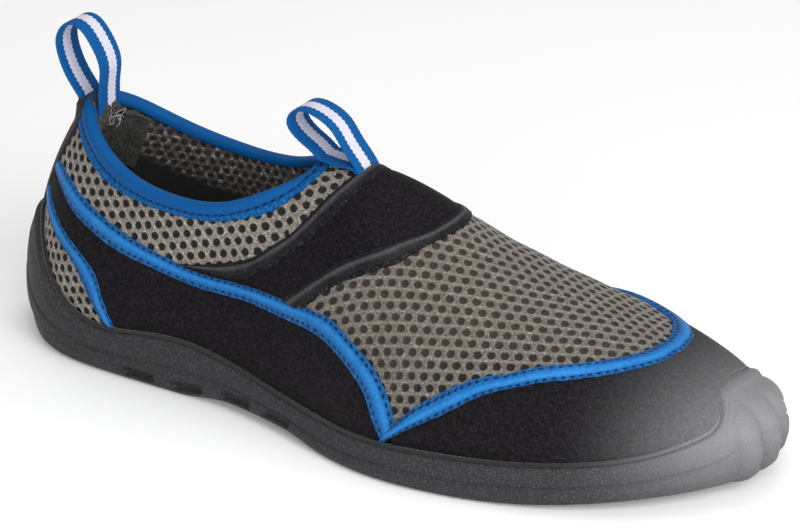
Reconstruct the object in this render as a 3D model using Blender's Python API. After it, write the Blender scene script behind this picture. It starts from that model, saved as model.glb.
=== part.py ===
"""Slip-on water shoe, right foot, standing empty on its sole.

Frame: +X to the toe, -Y to the outer (lateral) side, +Z up, the floor at z = 0 and the origin
under the middle of the shoe. Lengths are metres, turns are degrees round the last: 0 at the
heel, 90 at the outer waist, 180 at the toe, 270 at the inner waist.
"""
import math

import bmesh
import bpy
import numpy as np

# Last
LAST_LENGTH = 0.276
BALL_WIDTH = 0.096
HEEL_HEIGHT = 0.087
INSTEP_HEIGHT = 0.083
COLLAR_REAR_X = -0.1135
THROAT_X = -0.0205
THROAT_TURN = 86.0
COLLAR_HALF_WIDTH = 0.0242
COLLAR_REAR_POWER = 2.1
COLLAR_FRONT_POWER = 2.4
APEX_X = 0.095
APEX_SWING = 0.006
SLOPE_STEP = 0.01
SLOPE_FADE = 0.2
BLEND_TURN = 9.0
BLEND_REACH = 12.0
RIM_NORMAL = 0.96
RIDGE_SHARE = 0.06
RIDGE_TURN = 5.0

# Sole
FLOOR_THICKNESS = 0.008
TOE_SPRING = 0.006
TOE_SPRING_FROM = 0.69
HEEL_BEVEL = 0.0035
ARCH_RISE = 0.0025
LIP_HEIGHT = 0.0125
LIP_THICKNESS = 0.0022
WALL_THICKNESS = 0.0046
BUMPER_PROUD = 0.0026
BUMPER_RISE = 0.008
BUMPER_RAMP = 4.0
BUMPER_SCALLOP = 0.25
BUMPER_START = 168.0
BUMPER_LOBE = 9.0
BUMPER_LOBES = 4
HEEL_PROUD = 0.0014
CUP_RELIEF = 0.0004
CHANNEL_WIDTH = 0.0028
CHANNEL_DEPTH = 0.0018
CHANNEL_SWEEP = 0.006
CHANNEL_MARGIN = 0.009
SLOT_LENGTH = 0.0125
SLOT_HEIGHT = 0.0022
SLOT_DEPTH = 0.0022
SLOT_Z = 0.0038

# Cloth, foam and trim
UPPER_WALL = 0.002
INSOLE_THICKNESS = 0.004
TAPE_THICKNESS = 0.0009
BINDING_THICKNESS = 0.0011
BINDING_INSIDE = 0.75
BINDING_EASE = 0.85
INSIDE_GAP = 0.0005
WEBBING_WIDTH = 0.0105
WEBBING_THICKNESS = 0.0012
GAP = 0.0003

# Section tables: widths are shares of BALL_WIDTH, heights of the height that their name gives
OUTLINE = {
    "station": (0.00, 0.02, 0.07, 0.16, 0.30, 0.44, 0.58, 0.70, 0.80, 0.90, 0.965, 1.00),
    "lateral": (0.000, 0.114, 0.248, 0.307, 0.324, 0.376, 0.492, 0.492, 0.430, 0.303, 0.145, -0.088),
    "medial": (0.000, 0.114, 0.229, 0.318, 0.322, 0.302, 0.396, 0.482, 0.503, 0.430, 0.310, 0.088),
}
PROFILE = {
    "station": (0.00, 0.08, 0.20, 0.32, 0.44, 0.56, 0.70, 0.82, 0.92, 1.00),
    "of_heel": (1.000, 0.880, 0.796, 0.400, 0.000, 0.000, 0.000, 0.000, 0.000, 0.000),
    "of_instep": (0.000, 0.000, 0.000, 0.430, 0.965, 1.000, 0.846, 0.692, 0.594, 0.530),
    "bulge": (0.068, 0.068, 0.057, 0.045, 0.056, 0.056, 0.054, 0.047, 0.035, 0.035),
    "rise": (0.454, 0.408, 0.333, 0.315, 0.333, 0.313, 0.301, 0.301, 0.247, 0.228),
    "reach": (0.20, 0.02, 0.00, 0.08, 0.46, 0.50, 0.50, 0.54, 0.62, 0.70),
    "drop": (0.076, 0.222, 0.243, 0.217, 0.040, 0.000, 0.000, 0.000, 0.000, 0.000),
}
# Collar: how far round its own oval, in degrees from the heel, the edge is at each turn
COLLAR_SWEEP = {
    "turn": (0.0, 20.0, 40.0, 58.0, 68.0, 74.0, 78.0, 81.0, 83.5, THROAT_TURN),
    "sweep": (0.0, 31.0, 63.5, 96.5, 118.5, 135.0, 149.5, 163.0, 174.0, 180.0),
}
LIP = {
    "station": (0.00, 0.03, 0.10, 0.25, 0.45, 0.65, 0.85, 0.95, 1.00),
    "of_lip": (3.50, 3.00, 1.66, 1.52, 1.02, 0.98, 1.24, 1.66, 2.12),
}
# Outer wall of the sole from the lip down: share of the wall's height, share of its thickness
SOLE_WALL = {
    "height": (0.95, 0.78, 0.56, 0.51, 0.46, 0.28, 0.09, 0.00),
    "thick": (0.48, 0.68, 0.80, 0.66, 0.90, 1.00, 0.84, 0.42),
}
HEEL_CHANNELS = (0.100, 0.153, 0.206, 0.259)
BALL_CHANNELS = (0.570, 0.620, 0.670, 0.720, 0.770, 0.820, 0.870)
SLOT_STATIONS = (0.224, 0.300, 0.379, 0.452)
# Tapes: each row gives the turn and the share up the profile of the tape's two edges
SIDE_TAPE = {
    "turn": (12.0, 22.5, 29.5, 39.2, 47.5, 58.8, 70.8, 80.8, 91.0, 95.2, 99.8, 103.2, 105.2, 106.0),
    "up": (0.580, 0.626, 0.646, 0.662, 0.649, 0.608, 0.519, 0.428, 0.403, 0.393, 0.352, 0.300,
           0.228, 0.160),
    "low_turn": (12.0, 22.0, 30.5, 38.5, 47.0, 58.0, 71.5, 81.2, 88.8, 94.2, 98.5, 101.0, 102.2, 103.5),
    "low_up": (0.522, 0.545, 0.547, 0.550, 0.537, 0.515, 0.435, 0.362, 0.338, 0.318, 0.272, 0.218,
               0.145, 0.074),
}
VAMP_TAPE = {
    "turn": (104.4, 109.0, 112.5, 119.5, 124.5, 129.8, 135.2, 142.0, 155.0, 166.0, 177.5, 188.5,
             198.8, 211.0, 220.0, 229.0, 236.0, 241.0, 247.5, 251.0, 255.6),
    "up": (0.070, 0.160, 0.217, 0.338, 0.398, 0.455, 0.505, 0.570, 0.693, 0.770, 0.815, 0.790,
           0.718, 0.580, 0.500, 0.445, 0.395, 0.335, 0.217, 0.160, 0.070),
    "low_turn": (106.6, 109.6, 113.2, 118.8, 124.5, 130.0, 136.2, 143.3, 153.0, 163.0, 175.0, 188.0,
                 200.0, 211.0, 219.0, 229.0, 236.0, 241.2, 246.8, 250.4, 253.4),
    "low_up": (0.168, 0.245, 0.315, 0.405, 0.465, 0.533, 0.594, 0.665, 0.760, 0.842, 0.898, 0.878,
               0.800, 0.680, 0.590, 0.522, 0.464, 0.405, 0.315, 0.245, 0.168),
}
HEEL_TAPE = {
    "turn": (12.0, 17.0, 26.8, 37.2, 43.8, 46.4, 49.0),
    "up": (0.455, 0.455, 0.446, 0.420, 0.352, 0.270, 0.170),
    "low_turn": (12.0, 16.0, 27.5, 36.2, 40.8, 44.2, 46.6),
    "low_up": (0.405, 0.398, 0.383, 0.348, 0.283, 0.205, 0.150),
}
HEEL_STRIP = {
    "turn": (-11.0, -11.0, -11.0, -11.0),
    "up": (0.400, 0.530, 0.670, 0.800),
    "low_turn": (11.0, 11.0, 11.0, 11.0),
    "low_up": (0.400, 0.530, 0.670, 0.800),
}
SADDLE_REAR_TAPE = {
    "turn": (62.0, 66.4, 70.5, 75.5, 78.8, 82.5, 86.0, 88.3, 90.8, 93.2, 95.3),
    "up": (0.603, 0.618, 0.615, 0.600, 0.618, 0.645, 0.705, 0.760, 0.818, 0.897, 1.000),
    "low_turn": (62.6, 67.1, 72.8, 76.3, 80.5, 84.5, 88.2, 92.0, 94.0, 96.0, 98.4),
    "low_up": (0.592, 0.562, 0.512, 0.510, 0.530, 0.573, 0.635, 0.713, 0.782, 0.868, 1.000),
}
SADDLE_FRONT_TAPE = {
    "turn": (85.3, 89.6, 93.5, 97.2, 100.8, 104.5, 108.5, 112.3),
    "up": (0.432, 0.492, 0.557, 0.618, 0.680, 0.756, 0.850, 1.000),
    "low_turn": (89.8, 93.8, 98.0, 102.0, 105.0, 108.2, 111.5, 115.4),
    "low_up": (0.415, 0.492, 0.557, 0.625, 0.685, 0.775, 0.870, 1.000),
}
# Binding: its fold as a share of the way to the throat, and the turn and share up of its lower edge
BINDING = {
    "fold": (0.000, 0.123, 0.246, 0.380, 0.540, 0.700, 0.790, 0.850, 0.900, 0.940, 0.970, 0.990, 1.000),
    "turn": (0.0, 10.6, 21.0, 32.2, 45.4, 58.6, 66.4, 72.4, 77.8, 82.2, 86.0, 88.3, 89.4),
    "up": (0.820, 0.822, 0.824, 0.834, 0.880, 0.900, 0.893, 0.860, 0.824, 0.845, 0.893, 0.955, 1.000),
}
# Pull loops in side view from the collar's fold: run along x and rise, shares of the loop's length
HEEL_LOOP = {
    "run": (0.170, 0.127, 0.013, -0.143, -0.317, -0.450, -0.483, -0.383, -0.220, -0.110),
    "rise": (0.233, 0.523, 0.783, 0.957, 0.973, 0.850, 0.660, 0.420, 0.233, 0.080),
}
INSTEP_LOOP = {
    "run": (0.080, -0.033, -0.183, -0.317, -0.310, -0.167, 0.050, 0.250, 0.390, 0.470),
    "rise": (0.200, 0.283, 0.373, 0.500, 0.633, 0.727, 0.700, 0.583, 0.400, 0.240),
}
HEEL_LOOP_LENGTH = 0.030
HEEL_LOOP_STANDOFF = 0.0020
INSTEP_LOOP_LENGTH = 0.030

# Facets
COLUMN_STEP = 5.0
TOE_COLUMN_STEP = 2.5
TOE_COLUMNS_FROM = 150.0
UPPER_ROWS = (0.00, 0.13, 0.26, 0.38, 0.50, 0.61, 0.71, 0.80, 0.88, 0.95, 1.00)
FLOOR_STRIPS = 4
INSOLE_STRIPS = 3
THROAT_COLUMNS = (8.5, 7.2, 4.8, 3.6, 2.6, 1.7, 0.8, 0.0, -0.8, -2.0)

COLOURS = {
    "outsole": ((0.040, 0.040, 0.043), 0.75),
    "insole": ((0.012, 0.012, 0.013), 0.90),
    "upper": ((0.110, 0.103, 0.092), 0.85),
    "blue": ((0.010, 0.150, 0.470), 0.60),
    "black": ((0.014, 0.013, 0.015), 0.80),
    "webbing": ((0.012, 0.130, 0.420), 0.55),
}


def smooth(x, low, high):
    """Smooth step from 0 at low to 1 at high."""
    t = np.clip((np.asarray(x, float) - low) / (high - low), 0, 1)
    return t * t * (3 - 2 * t)


def spline(xs, ys, x):
    """Natural cubic spline through the points (xs, ys), read at x."""
    xs = np.asarray(xs, float)
    ys = np.asarray(ys, float)
    step = np.diff(xs)
    matrix = np.eye(len(xs))
    right = np.zeros(len(xs))
    for i in range(1, len(xs) - 1):
        matrix[i, i - 1:i + 2] = (step[i - 1], 2 * (step[i - 1] + step[i]), step[i])
        right[i] = 6 * ((ys[i + 1] - ys[i]) / step[i] - (ys[i] - ys[i - 1]) / step[i - 1])
    bend = np.linalg.solve(matrix, right)
    x = np.clip(np.asarray(x, float), xs[0], xs[-1])
    k = np.clip(np.searchsorted(xs, x, side="right") - 1, 0, len(xs) - 2)
    a = (xs[k + 1] - x) / step[k]
    b = 1 - a
    curve = (a ** 3 - a) * bend[k] + (b ** 3 - b) * bend[k + 1]
    return a * ys[k] + b * ys[k + 1] + curve * step[k] ** 2 / 6


def station_of(turn):
    """Share of the last's length behind a turn."""
    return (1 - np.cos(np.radians(turn))) / 2


def turn_of(station):
    """Turn on the outer side at a station."""
    return np.degrees(np.arccos(1 - 2 * np.asarray(station, float)))


def outline(turn):
    """x and y of the feather line, where the upper meets the sole."""
    turn = np.asarray(turn, float) % 360
    half = turn_of(OUTLINE["station"])
    knots = np.concatenate([half, 360 - half[-2::-1]])
    sides = np.concatenate([-np.array(OUTLINE["lateral"]), OUTLINE["medial"][-2::-1]]) * BALL_WIDTH
    knots = np.concatenate([knots[-4:-1] - 360, knots, knots[1:4] + 360])
    sides = np.concatenate([sides[-4:-1], sides, sides[1:4]])
    return (station_of(turn) - 0.5) * LAST_LENGTH, spline(knots, sides, turn)


def outward(turn):
    """Level unit vector that points out of the outline."""
    ax, ay = outline(turn - 0.5)
    bx, by = outline(turn + 0.5)
    length = np.hypot(bx - ax, by - ay)
    return (by - ay) / length, (ax - bx) / length


def top_height(station):
    """Height of the collar edge, and from the throat on of the vamp's ridge."""
    heel = spline(PROFILE["station"], PROFILE["of_heel"], station) * HEEL_HEIGHT
    return heel + spline(PROFILE["station"], PROFILE["of_instep"], station) * INSTEP_HEIGHT


def top_line(turn):
    """Collar edge behind the throat and vamp ridge in front of it: x, y, z and slope along x."""
    turn = np.asarray(turn, float) % 360
    station = station_of(turn)
    behind = np.minimum(turn, 360 - turn) < THROAT_TURN
    throat = station_of(THROAT_TURN)
    front = np.clip((station - throat) / (1 - throat), 0, 1)
    sweep_turn = np.append(COLLAR_SWEEP["turn"], 2 * THROAT_TURN - COLLAR_SWEEP["turn"][-2])
    sweep_angle = np.append(COLLAR_SWEEP["sweep"], COLLAR_SWEEP["sweep"][-2])
    sweep = np.radians(spline(sweep_turn, sweep_angle, np.minimum(np.minimum(turn, 360 - turn), THROAT_TURN)))
    half_length = (THROAT_X - COLLAR_REAR_X) / 2
    rear_x = COLLAR_REAR_X + half_length * (1 - np.cos(sweep))
    x = np.where(behind, rear_x, THROAT_X + front * (APEX_X - THROAT_X))
    power = np.where(sweep < math.pi / 2, COLLAR_REAR_POWER, COLLAR_FRONT_POWER)
    rounded = np.clip(1 - np.abs(np.cos(sweep)) ** power, 0, 1) ** (1 / power)
    rounded = np.where(behind, rounded, 0.0)
    y = np.where(turn < 180, -1.0, 1.0) * COLLAR_HALF_WIDTH * rounded + APEX_SWING * front ** 2
    pace = (APEX_X - THROAT_X) / (1 - throat)
    middle = np.minimum(station, 1 - SLOPE_STEP)
    slope = (top_height(middle + SLOPE_STEP) - top_height(middle - SLOPE_STEP)) / (2 * SLOPE_STEP) / pace
    return x, y, top_height(station), slope * smooth(front, 0.0, SLOPE_FADE)


def toe_rise(station):
    """How far the sole has lifted off the floor towards the toe."""
    return TOE_SPRING * smooth(station, TOE_SPRING_FROM, 1.0) ** 1.3


def section_point(turn, up):
    """Cubic section of the upper from the feather line (up 0) to the top line (up 1)."""
    station = station_of(turn)
    px, py = outline(turn)
    nx, ny = outward(turn)
    tx, ty, tz, slope = top_line(turn)
    low = FLOOR_THICKNESS + GAP + toe_rise(station)
    bulge = spline(PROFILE["station"], PROFILE["bulge"], station) * BALL_WIDTH
    rise = spline(PROFILE["station"], PROFILE["rise"], station) * INSTEP_HEIGHT
    reach = spline(PROFILE["station"], PROFILE["reach"], station)
    drop = spline(PROFILE["station"], PROFILE["drop"], station) * INSTEP_HEIGHT
    b0 = np.stack([px, py, low], -1)
    b1 = np.stack([px + nx * bulge, py + ny * bulge, low + rise], -1)
    back_x = reach * (px - tx)
    b2 = np.stack([tx + back_x, ty + reach * (py - ty), tz - drop + slope * back_x], -1)
    b3 = np.stack([tx, ty, tz], -1)
    t = up[..., None]
    return (1 - t) ** 3 * b0 + 3 * (1 - t) ** 2 * t * b1 + 3 * (1 - t) * t ** 2 * b2 + t ** 3 * b3


def upper_point(turn, up):
    """Outer face of the upper: its sections, blended with their neighbours beside the throat."""
    turn, up = np.broadcast_arrays(np.asarray(turn, float) % 360, np.asarray(up, float))
    from_throat = (np.minimum(turn, 360 - turn) - THROAT_TURN) / BLEND_REACH
    spread = BLEND_TURN * (1 - up ** 8) * np.exp(-from_throat ** 2)
    point = 0.3 * section_point(turn, up)
    for shift, weight in ((0.5, 0.25), (1.0, 0.10)):
        point = point + weight * (section_point(turn + shift * spread, up) + section_point(turn - shift * spread, up))
    return point


def upper_normal(turn, up):
    """Unit normal of the upper's outer face, out of the shoe."""
    turn, up = np.broadcast_arrays(np.asarray(turn, float), np.asarray(up, float))
    inner = np.minimum(up, RIM_NORMAL)
    along = upper_point(turn + 1.0, inner) - upper_point(turn - 1.0, inner)
    rising = upper_point(turn, inner + 0.01) - upper_point(turn, np.maximum(inner - 0.01, 0.0))
    normal = np.cross(along, rising)
    return normal / np.linalg.norm(normal, axis=-1, keepdims=True)


def on_upper(turn, up, lift):
    """Points that lie lift above the upper's outer face. Towards the ridge both sides agree."""
    turn, up = np.broadcast_arrays(np.asarray(turn, float) % 360, np.asarray(up, float))
    side = np.minimum(turn, 360 - turn)
    shared = 0.5 * smooth(up, 1 - RIDGE_SHARE, 1.0) * smooth(side, THROAT_TURN - RIDGE_TURN, THROAT_TURN)
    normal = upper_normal(turn, up) * (1 - shared[..., None])
    normal = normal + upper_normal(360 - turn, up) * shared[..., None]
    normal = normal / np.linalg.norm(normal, axis=-1, keepdims=True)
    return upper_point(turn, up) + normal * np.asarray(lift)[..., None]


def lip_height(turn):
    """Height of the sole's lip: a tab up the heel, low along the sides and round lobes at the toe."""
    lip = spline(LIP["station"], LIP["of_lip"], station_of(turn)) * LIP_HEIGHT
    end = BUMPER_START + BUMPER_LOBE * BUMPER_LOBES
    rising = smooth(turn, BUMPER_START - BUMPER_RAMP, BUMPER_START + BUMPER_RAMP)
    cover = rising * (1 - smooth(turn, end - BUMPER_RAMP, end + BUMPER_RAMP))
    return lip + BUMPER_RISE * cover * (1 - BUMPER_SCALLOP * (1 - bumper(turn)))


def bumper(turn):
    """Toe bumper: 0 away from it, and one rounded hump, up to 1, for each of its lobes."""
    share = (np.asarray(turn, float) - BUMPER_START) / BUMPER_LOBE
    hump = np.abs(np.sin(np.pi * share))
    return np.where((share > 0) & (share < BUMPER_LOBES), hump, 0.0)


def tread_height(station):
    """Underside of the sole: flat under heel and ball, raised at both ends and at the arch."""
    heel = HEEL_BEVEL * (1 - smooth(station, 0.0, 0.07))
    arch = ARCH_RISE * smooth(station, 0.28, 0.36) * (1 - smooth(station, 0.46, 0.54))
    return heel + arch + toe_rise(station)


def up_at_height(turn, height):
    """Share up the profile at which the upper reaches a height."""
    ups = np.linspace(0, 1, 60)
    shares = []
    for one_turn, one_height in zip(turn, height):
        z = upper_point(one_turn + 0 * ups, ups)[:, 2]
        shares.append(np.interp(one_height, z[:40], ups[:40]))
    return np.array(shares)


def clear_scene():
    for item in list(bpy.data.objects):
        bpy.data.objects.remove(item, do_unlink=True)


def material(name):
    colour, roughness = COLOURS[name]
    made = bpy.data.materials.get(name) or bpy.data.materials.new(name)
    made.use_nodes = True
    shader = made.node_tree.nodes["Principled BSDF"]
    shader.inputs["Base Color"].default_value = (*colour, 1.0)
    shader.inputs["Roughness"].default_value = roughness
    shader.inputs["Metallic"].default_value = 0.0
    return made


def add_solid(name, points, faces, finish, collection):
    """Object from points and faces, its coincident points merged and its faces turned outwards."""
    mesh = bpy.data.meshes.new(name)
    work = bmesh.new()
    vertices = [work.verts.new(p) for p in np.asarray(points, float).tolist()]
    for face in faces:
        work.faces.new([vertices[i] for i in face])
    bmesh.ops.remove_doubles(work, verts=work.verts, dist=2e-6)
    flat = [face for face in work.faces if face.calc_area() < 1e-13]
    bmesh.ops.delete(work, geom=flat, context="FACES_ONLY")
    bmesh.ops.recalc_face_normals(work, faces=work.faces)
    bmesh.ops.triangulate(work, faces=work.faces, quad_method="SHORT_EDGE")
    work.to_mesh(mesh)
    work.free()
    mesh.materials.append(material(finish))
    made = bpy.data.objects.new(name, mesh)
    collection.objects.link(made)
    mesh.shade_smooth()
    mesh.set_sharp_from_angle(angle=math.radians(40))
    return made


def grid_faces(index, close_first=False, close_second=False):
    """Quads over a grid of point numbers, closed round in either direction."""
    if close_first:
        index = np.concatenate([index, index[:1]])
    if close_second:
        index = np.concatenate([index, index[:, :1]], axis=1)
    quads = np.stack([index[:-1, :-1], index[1:, :-1], index[1:, 1:], index[:-1, 1:]], -1)
    return quads.reshape(-1, 4).tolist()


def tube_faces(index):
    """Faces of a bar whose cross-sections are closed rings: its sides and two end caps."""
    return grid_faces(index, close_second=True) + [index[0].tolist(), index[-1][::-1].tolist()]


def column_turns(toe_step):
    """Turns of the columns right round the shoe, closer together at the toe."""
    sides = np.arange(0, TOE_COLUMNS_FROM, COLUMN_STEP)
    toe = np.arange(TOE_COLUMNS_FROM, 180, toe_step)
    half = np.concatenate([sides, toe])
    return np.concatenate([half, [180.0], 360 - half[:0:-1]])


def upper_turns():
    """Turns of the upper's columns, crowded by the throat, and the numbers of the two throat columns."""
    turns = column_turns(TOE_COLUMN_STEP)
    apart = np.minimum(np.abs(turns - THROAT_TURN), np.abs(turns - (360 - THROAT_TURN)))
    close = THROAT_TURN - np.array(THROAT_COLUMNS)
    turns = np.sort(np.concatenate([turns[apart > COLUMN_STEP / 2], close, 360 - close]))
    first = int(np.argmin(np.abs(turns - THROAT_TURN)))
    last = int(np.argmin(np.abs(turns - (360 - THROAT_TURN))))
    return turns, first, last


def across_rows(ring, strips, height_of):
    """Cross strips that close a ring of points: level lines from each side to its mirror point."""
    half = len(ring) // 2
    share = np.linspace(0, 1, strips + 1)[None, :, None]
    left = ring[:half + 1][:, None]
    right = ring[-np.arange(half + 1)][:, None]
    rows = left * (1 - share) + right * share
    station = rows[..., 0] / LAST_LENGTH + 0.5
    inner = rows[:, 1:-1]
    inner[..., 2] = height_of(np.clip(station[:, 1:-1], 0, 1))
    rows[:, 1:-1] = inner
    rows[0] = ring[0]
    rows[half] = ring[half]
    return rows


def build_outsole(collection, cutters):
    """Cup sole: floor, inner wall, lip, outer wall with its step, underside and toe lobes."""
    turns = column_turns(TOE_COLUMN_STEP)
    station = station_of(turns)
    nx, ny = outward(turns)
    out = np.stack([nx, ny, 0 * nx], -1)
    px, py = outline(turns)
    floor = FLOOR_THICKNESS + toe_rise(station)
    lip = lip_height(turns)
    foot = tread_height(station)
    at_lip = up_at_height(turns, lip)
    rows = [np.stack([px, py, floor], -1) + out * GAP]
    for share in (0.0, 0.3, 0.6, 0.85, 1.0):
        hollow = GAP + CUP_RELIEF * math.sin(math.pi * share)
        rows.append(on_upper(turns, at_lip * share, hollow + 0 * turns))
    rows.append(rows[-1] + out * LIP_THICKNESS * 0.5 + [0, 0, LIP_THICKNESS * 0.25])
    proud = BUMPER_PROUD * bumper(turns)
    heel = HEEL_PROUD * (1 - smooth(station, 0.0, 0.12))
    for height, thick in zip(SOLE_WALL["height"], SOLE_WALL["thick"]):
        z = foot + height * (lip - foot)
        base = upper_point(turns, up_at_height(turns, z))
        lobe = proud * math.sin(math.pi * min(1.0, height + 0.12)) ** 0.5
        width = GAP + (WALL_THICKNESS + heel) * thick + lobe
        rows.append(np.stack([base[:, 0] + nx * width, base[:, 1] + ny * width, z], -1))
    grid = np.stack(rows, 1)
    columns, count = grid.shape[:2]
    numbers = np.arange(columns * count).reshape(columns, count)
    inner = across_rows(grid[:, 0], FLOOR_STRIPS, lambda s: FLOOR_THICKNESS + toe_rise(s))
    under = across_rows(grid[:, -1], FLOOR_STRIPS, tread_height)
    inner_numbers = columns * count + np.arange(inner.shape[0] * inner.shape[1]).reshape(inner.shape[:2])
    under_numbers = inner_numbers + inner_numbers.size
    points = np.concatenate([grid.reshape(-1, 3), inner.reshape(-1, 3), under.reshape(-1, 3)])
    faces = grid_faces(numbers, close_first=True) + grid_faces(inner_numbers) + grid_faces(under_numbers)
    sole = add_solid("outsole", points, faces, "outsole", collection)
    for name, station in zip("abcd", HEEL_CHANNELS):
        cut(sole, channel("heel_channel_" + name, station, -CHANNEL_MARGIN, cutters))
    for name, station in zip("abcdefg", BALL_CHANNELS):
        cut(sole, channel("ball_channel_" + name, station, CHANNEL_MARGIN, cutters))
    for name, station in zip("abcd", SLOT_STATIONS):
        cut(sole, slot("outer_slot_" + name, float(turn_of(station)), cutters))
        cut(sole, slot("inner_slot_" + name, 360 - float(turn_of(station)), cutters))
    return sole


def cut(solid, cutter):
    """Take a cutter out of a solid."""
    modifier = solid.modifiers.new(cutter.name, "BOOLEAN")
    modifier.operation = "DIFFERENCE"
    modifier.solver = "EXACT"
    modifier.object = cutter


def as_cutter(item):
    """Mark an object as a cutter: left out of the picture and drawn as wire."""
    item.hide_render = True
    item.display_type = "WIRE"
    return item


def channel(name, station, margin, cutters):
    """Bowed bar across the underside, which stops a margin short of the edge or runs past it."""
    turn = float(turn_of(station))
    x, outer = outline(turn)
    _, inner = outline(360 - turn)
    share = np.linspace(0, 1, 5)
    y = outer + margin + (inner - outer - 2 * margin) * share
    middle = x + CHANNEL_SWEEP * (0.5 - (2 * share - 1) ** 2)
    top = tread_height(station) + CHANNEL_DEPTH + 0 * y
    low = top - 3 * CHANNEL_DEPTH
    half = CHANNEL_WIDTH / 2
    ring = [np.stack([middle - half, y, low], -1), np.stack([middle + half, y, low], -1),
            np.stack([middle + half, y, top], -1), np.stack([middle - half, y, top], -1)]
    grid = np.stack(ring, 1)
    numbers = np.arange(grid.shape[0] * 4).reshape(-1, 4)
    return as_cutter(add_solid(name, grid.reshape(-1, 3), tube_faces(numbers), "outsole", cutters))


def slot(name, turn, cutters):
    """Long low box that notches the lower edge of the sole's side wall."""
    px, py = outline(turn)
    nx, ny = outward(turn)
    bpy.ops.mesh.primitive_cube_add(size=1.0)
    box = bpy.context.active_object
    for owner in list(box.users_collection):
        owner.objects.unlink(box)
    cutters.objects.link(box)
    box.name = name
    out = GAP + WALL_THICKNESS
    box.dimensions = (2 * SLOT_DEPTH, SLOT_LENGTH, SLOT_HEIGHT)
    box.rotation_euler = (0, 0, math.atan2(ny, nx))
    box.location = (px + nx * out, py + ny * out, SLOT_Z + float(tread_height(station_of(turn))))
    return as_cutter(box)


def build_insole(collection):
    """Flat foam insole on the floor of the cup, inside the upper's wall."""
    turns = column_turns(COLUMN_STEP)
    nx, ny = outward(turns)
    px, py = outline(turns)
    inset = UPPER_WALL + 2 * GAP
    base = FLOOR_THICKNESS + GAP + toe_rise(station_of(turns))
    ring = np.stack([px - nx * inset, py - ny * inset, base], -1)
    top = ring + [0, 0, INSOLE_THICKNESS]
    low_rows = across_rows(ring, INSOLE_STRIPS, lambda s: FLOOR_THICKNESS + GAP + toe_rise(s))
    top_rows = across_rows(top, INSOLE_STRIPS, lambda s: FLOOR_THICKNESS + GAP + INSOLE_THICKNESS + toe_rise(s))
    edge = np.stack([ring, top], 1)
    numbers = np.arange(edge.shape[0] * 2).reshape(-1, 2)
    low_numbers = numbers.size + np.arange(low_rows.shape[0] * low_rows.shape[1]).reshape(low_rows.shape[:2])
    top_numbers = low_numbers + low_numbers.size
    points = np.concatenate([edge.reshape(-1, 3), low_rows.reshape(-1, 3), top_rows.reshape(-1, 3)])
    faces = grid_faces(numbers, close_first=True) + grid_faces(low_numbers) + grid_faces(top_numbers)
    return add_solid("insole", points, faces, "insole", collection)


def build_upper(collection):
    """Hollow upper: outer and inner face joined round the collar and at the open feather line."""
    turns, first, last = upper_turns()
    ups = np.array(UPPER_ROWS)
    outer = on_upper(turns[:, None], ups[None], np.zeros((1, 1)))
    inner = on_upper(turns[:, None], ups[None], np.full((1, 1), -UPPER_WALL))
    inner[:, 0, 2] = outer[:, 0, 2]
    numbers = np.arange(outer.shape[0] * outer.shape[1]).reshape(outer.shape[:2])
    inner_numbers = numbers + numbers.size
    faces = grid_faces(numbers, close_first=True) + grid_faces(inner_numbers, close_first=True)
    sole_rim = np.stack([numbers[:, 0], inner_numbers[:, 0]], 1)
    faces += grid_faces(sole_rim, close_first=True)
    collar = np.r_[last:len(turns), 0:first + 1]
    faces += grid_faces(np.stack([numbers[collar, -1], inner_numbers[collar, -1]], 1))
    points = np.concatenate([outer.reshape(-1, 3), inner.reshape(-1, 3)])
    return add_solid("upper", points, faces, "upper", collection)


def build_binding(collection):
    """Folded collar binding: outside flange, fold over the edge and a shorter inside flange."""
    turns, _, _ = upper_turns()
    fold_turn = turns[turns < THROAT_TURN + 0.01]
    knots = np.array(BINDING["fold"]) * THROAT_TURN
    low_turn = spline(knots, BINDING["turn"], fold_turn)
    low_up = np.clip(spline(knots, BINDING["up"], fold_turn), 0, 1)
    fold_turn = np.concatenate([fold_turn, 360 - fold_turn[-2:0:-1]])
    low_turn = np.concatenate([low_turn, 360 - low_turn[-2:0:-1]])
    low_up = np.concatenate([low_up, low_up[-2:0:-1]])

    def flange(share, lift):
        turn = fold_turn + (low_turn - fold_turn) * share
        return on_upper(turn, 1 + (low_up - 1) * share, lift + 0 * turn)

    middle = flange(0.0, -UPPER_WALL / 2)
    away = upper_point(fold_turn, 1.0) - upper_point(fold_turn, RIM_NORMAL)
    edge = np.roll(middle, -1, axis=0) - np.roll(middle, 1, axis=0)
    edge = edge / np.linalg.norm(edge, axis=-1, keepdims=True)
    away = away - edge * (away * edge).sum(-1, keepdims=True)
    away = away / np.linalg.norm(away, axis=-1, keepdims=True)
    inside = -UPPER_WALL - INSIDE_GAP
    ring = [
        flange(1.0, GAP), flange(0.5, GAP), flange(0.0, GAP) + away * GAP,
        flange(0.0, inside) + away * GAP, flange(BINDING_INSIDE / 2, inside), flange(BINDING_INSIDE, inside),
        flange(BINDING_INSIDE, inside - BINDING_THICKNESS), flange(0.0, inside - BINDING_THICKNESS * BINDING_EASE),
        middle + away * (GAP + BINDING_THICKNESS), flange(0.0, GAP + BINDING_THICKNESS * BINDING_EASE),
        flange(0.5, GAP + BINDING_THICKNESS), flange(1.0, GAP + BINDING_THICKNESS),
    ]
    grid = np.stack(ring, 1)
    numbers = np.arange(grid.shape[0] * grid.shape[1]).reshape(grid.shape[:2])
    faces = grid_faces(numbers, close_first=True, close_second=True)
    return add_solid("collar_binding", grid.reshape(-1, 3), faces, "blue", collection)


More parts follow.
